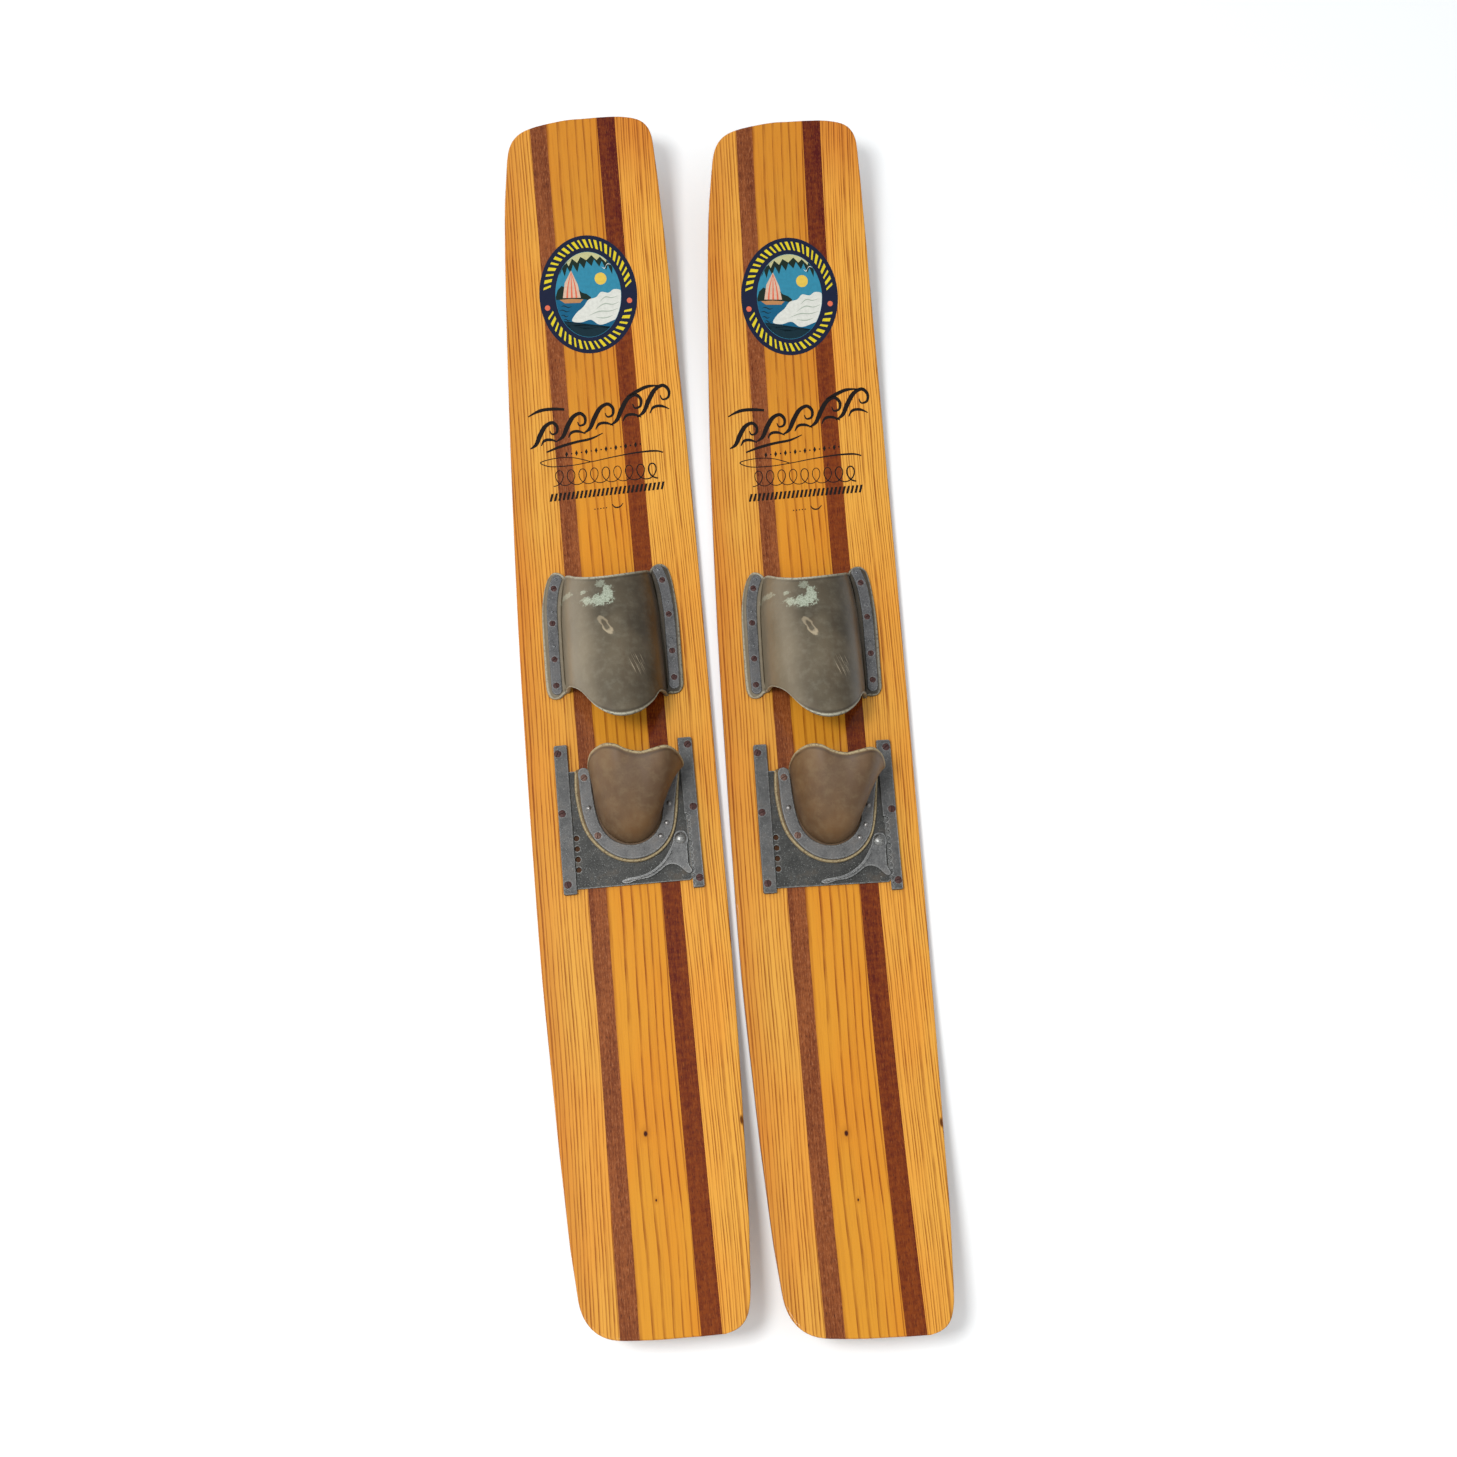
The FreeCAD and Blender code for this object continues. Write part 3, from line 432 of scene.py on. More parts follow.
def alloy(name, side, tone, warm=0.0, rough=0.5, seed=0.0, metal=0.45,
          edge_amount=0.7):
    """Weathered casting: mottled grey with pits, pale specks, and pale edges that
    are partly wear and partly a painted highlight.
    """
    s = Shader(name + "_" + side, side)
    x, y, z = s.local()
    big = s.noise(s.mad(x, 0.05, seed), s.mul(y, 0.05), s.mul(z, 0.05), 4.0, 0.6)
    mid = s.noise(s.mad(x, 0.35, seed), s.mul(y, 0.35), s.mul(z, 0.35), 3.0, 0.65)
    fine = s.noise(s.mad(x, 1.7, seed), s.mul(y, 1.7), s.mul(z, 1.7), 2.0, 0.6)
    tone_v = s.add(s.mul(s.remap(big, 0.3, 0.7), 0.40),
                   s.add(s.mul(s.remap(mid, 0.32, 0.68), 0.34),
                         s.mul(s.remap(fine, 0.3, 0.7), 0.26)))
    lo, hi = tone
    col = s.mix(tone_v, lo, hi)
    pits = s.voronoi(s.mad(x, 0.55, seed), s.mul(y, 0.55), s.mul(z, 0.55))
    pit = s.mul(s.remap(pits, 0.10, 0.24, 1.0, 0.0), s.remap(mid, 0.45, 0.6))
    col = s.mix(s.mul(pit, 0.75), col, srgb(24, 24, 25))
    specks = s.noise(s.mad(x, 0.8, seed + 7), s.mul(y, 0.8), s.mul(z, 0.8),
                     3.0, 0.75)
    speck = s.mul(s.remap(specks, 0.60, 0.70), 0.65)
    col = s.mix(speck, col, srgb(168, 172, 170))
    # pale edges: partly edge wear, partly a painted highlight on the rounded
    # corners
    edge = s.mul(s.edge_mask(0.0024), s.remap(mid, 0.35, 0.55, 0.30, 1.0))
    col = s.mix(s.mul(edge, edge_amount), col, srgb(196, 199, 198))
    if warm:
        stain = s.mul(s.remap(big, 0.52, 0.68), warm)
        col = s.mix(stain, col, srgb(84, 68, 50))
    h = s.add(s.mul(pit, -1.0), s.add(s.mul(mid, 0.45), s.mul(fine, 0.35)))
    nrm = s.bump(h, 0.6, 0.0006)
    return s.surface(col, s.remap(mid, 0.3, 0.7, rough - 0.08, rough + 0.12),
                     metal=metal, normal=nrm, spec=0.4)


def rusty(name, side, seed=0.0, tones=((34, 18, 16), (64, 36, 34), (96, 66, 60))):
    s = Shader(name + "_" + side, side)
    x, y, z = s.local()
    n = s.noise(s.mad(x, 0.9, seed), s.mul(y, 0.9), s.mul(z, 0.9), 3.0, 0.7)
    f = s.noise(s.mad(x, 3.0, seed), s.mul(y, 3.0), s.mul(z, 3.0), 2.0, 0.6)
    col = s.ramp(n, [(0.28, srgb(*tones[0])), (0.5, srgb(*tones[1])),
                     (0.72, srgb(*tones[2]))])
    col = s.mix(s.remap(f, 0.62, 0.76, 0.0, 0.5), col, srgb(128, 104, 94))
    nrm = s.bump(s.add(n, s.mul(f, 0.5)), 0.5, 0.0004)
    return s.surface(col, s.remap(f, 0.3, 0.7, 0.45, 0.7), metal=0.3,
                     normal=nrm, spec=0.4)


def bright(name, side, tone=(150, 150, 148), seed=0.0):
    s = Shader(name + "_" + side, side)
    x, y, z = s.local()
    n = s.noise(s.mad(x, 0.8, seed), s.mul(y, 0.8), s.mul(z, 0.8), 3.0, 0.6)
    f = s.noise(s.mad(x, 2.5, seed), s.mul(y, 2.5), s.mul(z, 2.5), 2.0, 0.6)
    col = s.mix(s.remap(n, 0.35, 0.7), srgb(*tone),
                srgb(*[c * 0.62 for c in tone]))
    nrm = s.bump(f, 0.3, 0.0003)
    return s.surface(col, s.remap(f, 0.3, 0.7, 0.25, 0.45), metal=0.85,
                     normal=nrm)


def rubber(name, side, base, dark, pale, seed=0.0, patch=False, matte=0.0):
    """Aged rubber, pale with wear along its beads, with a painted shade line just
    inside them.
    """
    s = Shader(name + "_" + side, side)
    x, y, z = s.local()
    big = s.noise(s.mad(x, 0.02, seed), s.mul(y, 0.02), s.mul(z, 0.02), 2.0, 0.5)
    streak = s.noise(s.mad(x, 0.10, seed), s.mul(y, 0.012), s.mul(z, 0.03),
                     3.0, 0.6)
    mid = s.noise(s.mad(x, 0.12, seed), s.mul(y, 0.12), s.mul(z, 0.12), 3.0, 0.6)
    fine = s.noise(s.mad(x, 0.9, seed), s.mul(y, 0.9), s.mul(z, 0.9), 3.0, 0.65)
    col = s.mix(s.remap(big, 0.3, 0.7), base, dark)
    col = s.mix(s.mul(s.remap(streak, 0.46, 0.68), 0.22), col,
                s.mix(1.0, col, srgb(226, 196, 176), "MULTIPLY"))
    col = s.mix(s.mul(s.remap(mid, 0.4, 0.75), 0.10), col, pale)
    col = s.mix(s.mul(s.remap(fine, 0.40, 0.28), 0.35), col,
                [c * 0.5 for c in dark])
    wear_and_crease_shade = s.attribute("wear_and_crease_shade")
    chip = s.noise(s.mad(x, 0.40, seed + 4), s.mul(y, 0.40), s.mul(z, 0.40),
                   3.0, 0.7)
    wear = s.mul(s.maxi(wear_and_crease_shade, 0.0), s.remap(chip, 0.38, 0.50, 0.25, 1.0))
    # the negative part of the field is a painted shade line just inside the bead,
    # darkened like a crease in shade
    crease_shade = s.maxi(s.mul(wear_and_crease_shade, -1.0), 0.0)
    col = s.mix(wear, col, pale)
    col = s.mix(crease_shade, col, [c * 0.35 for c in dark])
    if patch:
        # flaked pale bloom near the front, and smaller spots beside it
        flake = s.noise(s.mul(x, 0.20), s.mul(y, 0.20), s.mul(z, 0.1), 4.0, 0.75)
        for px, py, rx, ry, k in ((-14.0, 90.5, 17.0, 7.0, 1.0),
                                  (-3.0, 99.0, 7.0, 9.0, 0.9),
                                  (-27.0, 93.0, 7.0, 4.0, 0.9),
                                  (-49.0, 107.5, 7.5, 4.0, 0.8),
                                  (-10.0, 111.0, 7.0, 5.0, 0.5),
                                  (-29.5, 103.5, 4.0, 3.0, 0.9)):
            d = s.math("SQRT", s.add(
                s.power(s.math("ABSOLUTE", s.mul(s.add(x, -px), 1 / rx)), 2.0),
                s.power(s.math("ABSOLUTE", s.mul(s.add(y, -py), 1 / ry)), 2.0)))
            m = s.mul(s.remap(s.sub(flake, s.mul(d, 0.34)), 0.14, 0.24), k)
            tint = s.mix(s.remap(fine, 0.35, 0.62), srgb(120, 128, 112),
                         srgb(172, 182, 164))
            col = s.mix(s.mul(m, 0.9), col, tint)
        # a slanting kidney-shaped scar: an uneven pale outline with a smear
        # at its lower end
        slant = s.mad(s.sub(y, 58.0), 0.50, s.add(x, 8.0))
        waist = s.mad(s.math("COSINE", s.mul(s.sub(y, 58.5), 0.42)), -0.9, 5.2)
        d1 = s.math("SQRT", s.add(
            s.power(s.math("ABSOLUTE", s.math("DIVIDE", slant, waist)), 2.0),
            s.power(s.math("ABSOLUTE", s.mul(s.sub(y, 58.0), 1 / 11.5)), 2.0)))
        d1 = s.add(d1, s.mul(s.sub(flake, 0.5), 0.75))
        ring = s.remap(s.math("ABSOLUTE", s.sub(d1, 0.80)), 0.06, 0.30, 1.0, 0.0)
        low = s.remap(y, 60.0, 50.0, 0.50, 0.80)
        col = s.mix(s.mul(ring, low), col, srgb(164, 150, 124))
        d2 = s.math("SQRT", s.add(
            s.power(s.math("ABSOLUTE", s.mul(s.add(x, 3.6), 1 / 3.6)), 2.0),
            s.power(s.math("ABSOLUTE", s.mul(s.add(y, -50.0), 1 / 4.6)), 2.0)))
        col = s.mix(s.mul(s.remap(s.add(d2, s.sub(flake, 0.5)), 0.5, 1.0,
                                  1.0, 0.0), 0.55), col, srgb(160, 148, 124))
        # painted shade darkens the right flank and painted light makes the left
        # flank paler, as the light falls from the left
        col = s.mix(s.mul(s.remap(x, -6.0, 40.0), 0.62), col,
                    s.mix(1.0, col, srgb(160, 150, 140), "MULTIPLY"))
        col = s.mix(s.mul(s.remap(x, -12.0, -38.0), 0.42), col,
                    srgb(150, 138, 116))
        # a few fine scratches, lower right
        sc = s.noise(s.mad(x, 0.9, s.mul(y, 0.35)), s.mul(y, 0.03), 0.0,
                     2.0, 0.6)
        where = s.mul(s.remap(s.math("ABSOLUTE", s.add(x, -23.0)), 4.0, 11.0,
                              1.0, 0.0),
                      s.remap(s.math("ABSOLUTE", s.add(y, -9.0)), 6.0, 15.0,
                              1.0, 0.0))
        col = s.mix(s.mul(where, s.mul(s.remap(sc, 0.56, 0.62), 0.7)), col,
                    srgb(168, 156, 134))
    h = s.add(s.mul(mid, 0.5), s.mul(fine, 0.35))
    nrm = s.bump(h, 0.22, 0.0005)
    rough = s.add(s.remap(mid, 0.3, 0.7, 0.34 + matte, 0.44 + matte),
                  s.mul(wear, 0.25))
    return s.surface(col, rough, normal=nrm, spec=0.4)


def paint(name, side, color, var=0.12, rough=0.38, seed=0.0):
    """Ink of the transfer: slightly uneven, with tiny worn specks."""
    s = Shader(name + "_" + side, side)
    x, y, z = s.local()
    n = s.noise(s.mad(x, 0.25, seed), s.mul(y, 0.25), 0.0, 3.0, 0.6)
    f = s.noise(s.mad(x, 1.6, seed), s.mul(y, 1.6), 0.0, 2.0, 0.7)
    col = s.mix(s.remap(n, 0.3, 0.7), color,
                [min(1.0, c * (1 - var)) for c in color])
    col = s.mix(s.remap(f, 0.74, 0.82, 0.0, 0.4), col, seen(190, 140, 80))
    return s.surface(col, rough, coat=0.25, coat_rough=0.1, spec=0.06)


def give(node, mat):
    o = NODES[node]
    o.data.materials.clear()
    o.data.materials.append(mat)


# ---------------------------------------------------------------- mesh kit


def spline(points, n, closed=False):
    """Smooth curve through the points, sampled n times, by chord length."""
    p = np.asarray(points, float)
    if closed:
        p = np.vstack([p, p[:1]])
    seg = np.linalg.norm(np.diff(p, axis=0), axis=1) ** 0.5
    t = np.concatenate([[0], np.cumsum(seg)])
    m = np.empty_like(p)
    h = np.diff(t)[:, None]
    d = np.diff(p, axis=0) / h
    m[1:-1] = (d[:-1] * h[1:] + d[1:] * h[:-1]) / (h[1:] + h[:-1])
    if closed:
        m[0] = m[-1] = (d[-1] * h[0] + d[0] * h[-1]) / (h[0] + h[-1])
    else:
        m[0] = 1.5 * d[0] - 0.5 * m[1]
        m[-1] = 1.5 * d[-1] - 0.5 * m[-2]
    q = np.linspace(0, t[-1], n)
    i = np.clip(np.searchsorted(t, q, side="right") - 1, 0, len(h) - 1)
    u = ((q - t[i]) / h[i, 0])[:, None]
    hh = h[i]
    return ((2 * u ** 3 - 3 * u ** 2 + 1) * p[i]
            + (u ** 3 - 2 * u ** 2 + u) * hh * m[i]
            + (-2 * u ** 3 + 3 * u ** 2) * p[i + 1]
            + (u ** 3 - u ** 2) * hh * m[i + 1])


def smooth_at(xs, ys, x):
    """Hermite interpolation of a table."""
    xs, ys = np.asarray(xs, float), np.asarray(ys, float)
    m = np.gradient(ys, xs)
    x = np.clip(x, xs[0], xs[-1])
    i = np.clip(np.searchsorted(xs, x, side="right") - 1, 0, len(xs) - 2)
    h = xs[i + 1] - xs[i]
    u = (x - xs[i]) / h
    return ((2 * u ** 3 - 3 * u ** 2 + 1) * ys[i]
            + (u ** 3 - 2 * u ** 2 + u) * h * m[i]
            + (-2 * u ** 3 + 3 * u ** 2) * ys[i + 1]
            + (u ** 3 - u ** 2) * h * m[i + 1])


def grid_normals(g):
    du = np.gradient(g, axis=0)
    dv = np.gradient(g, axis=1)
    n = np.cross(du, dv)
    ln = np.linalg.norm(n, axis=2, keepdims=True)
    return n / np.maximum(ln, 1e-9)


def sheet_mesh(name, mid, half_up, half_down, wear_and_crease_shade, side, flip=False):
    """Closed body from a grid of middle points and a thickness each way.

    The two faces meet along the border through one row of its own points,
    so the border is rounded and the mesh has no gap."""
    n = grid_normals(mid)
    if flip:
        n = -n
    top = mid + n * half_up[..., None]
    bot = mid - n * half_down[..., None]
    r, c = mid.shape[:2]
    verts = np.concatenate([top.reshape(-1, 3), bot.reshape(-1, 3)])
    w = np.concatenate([wear_and_crease_shade.reshape(-1), wear_and_crease_shade.reshape(-1)])
    ti = np.arange(r * c).reshape(r, c)
    bi = ti + r * c
    faces = []
    for i in range(r - 1):
        for j in range(c - 1):
            a = (ti[i, j], ti[i + 1, j], ti[i + 1, j + 1], ti[i, j + 1])
            b = (bi[i, j], bi[i, j + 1], bi[i + 1, j + 1], bi[i + 1, j])
            faces += [a, b]
    ring = ([(0, j) for j in range(c)] + [(i, c - 1) for i in range(1, r)]
            + [(r - 1, j) for j in range(c - 2, -1, -1)]
            + [(i, 0) for i in range(r - 2, 0, -1)])
    for k in range(len(ring)):
        p, q = ring[k], ring[(k + 1) % len(ring)]
        faces.append((ti[p], ti[q], bi[q], bi[p]))
    me = bpy.data.meshes.new(name)
    me.from_pydata([tuple(v) for v in to_row(verts, side)], [],
                   [tuple(int(x) for x in f) for f in faces])
    at = me.attributes.new("wear_and_crease_shade", "FLOAT", "POINT")
    at.data.foreach_set("value", w.astype(np.float32))
    bm = bmesh.new()
    bm.from_mesh(me)
    bmesh.ops.recalc_face_normals(bm, faces=bm.faces)
    bm.to_mesh(me)
    bm.free()
    me.polygons.foreach_set("use_smooth", [True] * len(me.polygons))
    o = bpy.data.objects.new(name, me)
    bpy.context.scene.collection.objects.link(o)
    return o


def join(objects, name):
    """One object of several closed bodies, attributes kept."""
    bpy.ops.object.select_all(action="DESELECT")
    for o in objects:
        o.select_set(True)
    bpy.context.view_layer.objects.active = objects[0]
    bpy.ops.object.join()
    o = bpy.context.view_layer.objects.active
    o.name = name
    o.data.name = name
    return o


def graded(total, step, fine=(0, 0.35, 0.8, 1.4, 2.1, 3.0, 4.0, 5.2, 6.8)):
    """0..1 positions, close together near both ends."""
    f = [d / total for d in fine]
    n = max(2, int(round((total - 2 * fine[-1]) / step)))
    mid = list(np.linspace(f[-1], 1 - f[-1], n + 1))[1:-1]
    return np.array(f + mid + [1 - d for d in f[::-1]])


def edge_thickness(d, base, bead, at=2.3, spread=1.3, roll=1.5):
    """Half thickness at distance d from the border: rounded, with a bead."""
    t = base + bead * np.exp(-((d - at) / spread) ** 2)
    k = np.clip(d / roll, 0, 1)
    return t * np.sqrt(1 - (1 - k) ** 2) + 0.08


# ---------------------------------------------------------------- toe rubber
TOE_MID = -1.4
TOE_PLAN = [
    (-69.5, 136.5), (-62.5, 145.0), (-56.7, 144.9), (-51.5, 141.3),
    (-46.6, 136.8), (-37.6, 128.4), (-28.9, 124.2), (-18.9, 121.6),
    (-7.6, 120.6), (2.3, 120.9), (12.4, 122.2), (21.2, 124.2),
    (31.4, 127.5), (39.2, 131.8), (45.3, 137.3), (49.6, 143.0),
    (56.1, 146.6), (62.6, 145.8), (67.7, 139.9), (71.0, 129.3),
    (73.4, 111.5), (74.9, 89.5), (75.3, 61.5), (74.9, 36.5), (74.4, 9.5),
    (73.4, -1.5), (68.7, -7.8), (60.1, -9.6), (55.6, -8.8), (53.1, -11.3),
    (49.6, -14.4), (44.9, -17.5), (41.4, -22.6), (37.6, -30.4),
    (31.6, -38.2), (23.8, -45.0), (15.1, -49.2), (5.4, -51.1),
    (-4.1, -50.1), (-13.4, -46.2), (-22.5, -38.9), (-29.2, -29.6),
    (-34.7, -20.1), (-40.4, -12.0), (-46.6, -5.4), (-51.0, -0.9),
    (-54.6, 1.0), (-59.0, -0.1), (-62.0, -3.0), (-66.0, -5.0),
    (-71.5, -5.0), (-75.7, -2.9), (-78.6, 2.4), (-79.6, 12.4),
    (-79.7, 41.4), (-79.4, 67.5), (-78.6, 94.4), (-76.6, 112.4),
    (-73.4, 126.5),
]
TOE_Y = [-58.0, -35.0, -10.0, 25.0, 60.0, 95.0, 125.0, 140.0, 156.0]
TOE_H = [77.0, 76.0, 73.5, 68.0, 61.0, 52.5, 44.5, 39.8, 34.0]
TOE_W = [55.4, 55.4, 55.4, 55.4, 55.2, 54.2, 50.6, 47.6, 43.5]
RUB = 1.6


def toe_xz(sig, y):
    """Middle of the rubber at unrolled place sig (mm-like) and station y."""
    w = smooth_at(TOE_Y, TOE_W, y) - RUB
    h = smooth_at(TOE_Y, TOE_H, y) - RUB
    q = np.clip(sig / 100.0, -1, 1)
    a = np.pi / 2 * (1 - q)
    c, s = np.cos(a), np.clip(np.sin(a), 0, 1)
    x = TOE_MID + w * np.sign(c) * np.abs(c) ** 0.88
    z = h * s ** 0.92
    over = np.clip(np.abs(sig) - 100.0, 0, None)
    x = x + np.sign(sig) * over
    # fold between wall and foot
    k = 3.0
    d = z - RUB
    z = RUB + 0.5 * (d + np.sqrt(d * d + k))
    near = np.exp(-((np.abs(sig) - 99.0) / 3.2) ** 2)
    x = x + np.sign(sig) * near * 1.3
    return x, z


def toe_sigma(x, y):
    w = float(smooth_at(TOE_Y, TOE_W, np.array([y]))[0]) - RUB
    r = (x - TOE_MID) / w
    if abs(r) >= 1.0:
        return math.copysign(100.0 + (abs(r) - 1.0) * w, r)
    c = abs(r) ** (1 / 0.88)
    a = math.acos(c)
    return math.copysign(100.0 * (1 - a / (math.pi / 2)), r)


def build_toe(side):
    plan = spline(TOE_PLAN, 1201, True)
    sig = np.array([[toe_sigma(px, py), py] for px, py in plan])
    knots = []
    for cx, cy in ((-69.5, 136.5), (67.7, 139.9), (68.7, -7.8), (-71.5, -5.0)):
        d = np.hypot(plan[:, 0] - cx, plan[:, 1] - cy)
        knots.append(int(d[:-1].argmin()))
    n = len(sig) - 1

    def part(i, j):
        if j <= i:
            j += n
        return sig[np.arange(i, j + 1) % n]
    front = part(knots[0], knots[1])
    right = part(knots[1], knots[2])
    rear = part(knots[2], knots[3])[::-1]
    left = part(knots[3], knots[0])
    right = right[::-1]

    def at(curve, t, axis):
        """Curve sampled where its chosen coordinate runs evenly."""
        v = curve[:, axis]
        f = (v - v[0]) / (v[-1] - v[0])
        f = np.maximum.accumulate(f)
        return np.stack([np.interp(t, f, curve[:, 0]),
                         np.interp(t, f, curve[:, 1])], 1)
    cs = graded(240.0, 2.6)
    # crowd columns where the wall folds into the foot
    ts = graded(165.0, 3.0)
    F, B = at(front, cs, 0), at(rear, cs, 0)
    L, R = at(left, ts, 1), at(right, ts, 1)
    C, T = np.meshgrid(cs, ts, indexing="ij")
    P = ((1 - T)[..., None] * B[:, None, :] + T[..., None] * F[:, None, :]
         + (1 - C)[..., None] * L[None, :, :] + C[..., None] * R[None, :, :]
         - ((1 - C) * (1 - T))[..., None] * B[0] - (C * (1 - T))[..., None] * B[-1]
         - ((1 - C) * T)[..., None] * F[0] - (C * T)[..., None] * F[-1])
    x, z = toe_xz(P[..., 0], P[..., 1])
    mid = np.stack([x, P[..., 1], z + DECK], 2)
    # slight unevenness of old rubber, none on the foot
    arch = np.clip((z - 12) / 20, 0, 1)
    wob = (np.sin(x * 0.11 + 1.3) * np.sin(P[..., 1] * 0.07 + 0.4) * 0.55
           + np.sin(x * 0.05 - P[..., 1] * 0.045) * 0.6)
    mid[..., 2] += arch * wob * 0.8
    # distance from the border along the sheet
    dc = np.linalg.norm(np.diff(mid, axis=0), axis=2)
    sc = np.concatenate([np.zeros((1, mid.shape[1])), np.cumsum(dc, 0)])
    dr = np.linalg.norm(np.diff(mid, axis=1), axis=2)
    st = np.concatenate([np.zeros((mid.shape[0], 1)), np.cumsum(dr, 1)], 1)
    d = np.minimum(np.minimum(sc, sc[-1:] - sc), np.minimum(st, st[:, -1:] - st))
    up = edge_thickness(d, RUB, 0.9, at=1.9, spread=1.2)
    foot = z < 4.0
    down = np.where(foot, np.minimum(edge_thickness(d, RUB, 0.0), RUB - 0.02),
                    edge_thickness(d, RUB, 0.35))
    # pale wear along the bead, less a painted shade line just inside it
    wear_and_crease_shade = (np.exp(-((d - 1.7) / 1.7) ** 2)
            - 0.70 * np.exp(-((d - 4.9) / 1.0) ** 2))
    o = sheet_mesh("toe_boot_" + side, mid, up, down, wear_and_crease_shade, side)
    return o


# ---------------------------------------------------------------- heel rubber
PLATE_TOP = 15.85
SHOE_BOTTOM, SHOE_TOP = 19.05, 22.65
CUP_BASE = [(-36.9, -98.0), (-35.7, -117.0), (-33.2, -139.0),
            (-27.8, -155.2), (-17.2, -168.6), (-6.0, -175.2), (4.0, -176.6),
            (14.0, -174.6), (24.0, -168.0), (32.4, -156.4), (36.8, -139.0),
            (40.0, -120.0), (44.8, -102.0)]
CUP_RIM = [(-39.2, -92.6, 17.0), (-39.0, -87.4, 38.0), (-32.4, -82.0, 60.0),
           (-20.0, -79.6, 75.0), (-8.0, -82.2, 79.5), (4.0, -88.0, 77.5),
           (18.0, -91.4, 76.2), (31.0, -90.0, 78.8), (45.0, -87.6, 78.6),
           (56.0, -89.4, 66.0), (62.8, -93.6, 46.0), (64.0, -98.0, 30.0),
           (57.0, -101.6, 19.0)]
FLANGE_OUTER = [(-55.2, -93.0), (-56.2, -112.0), (-54.6, -133.0),
                (-49.8, -155.4), (-40.4, -172.6), (-23.4, -188.8),
                (-4.0, -196.8), (15.0, -196.6), (34.4, -187.0),
                (47.2, -171.0), (54.2, -147.0), (57.4, -122.0),
                (60.2, -101.0)]
FLANGE_INNER = [(-33.6, -96.0), (-32.6, -115.0), (-30.2, -138.0),
                (-26.0, -152.6), (-17.0, -165.4), (-3.0, -172.6),
                (12.0, -172.0), (23.6, -164.4), (31.0, -152.4),
                (34.0, -139.0), (37.0, -120.0), (41.6, -101.5)]


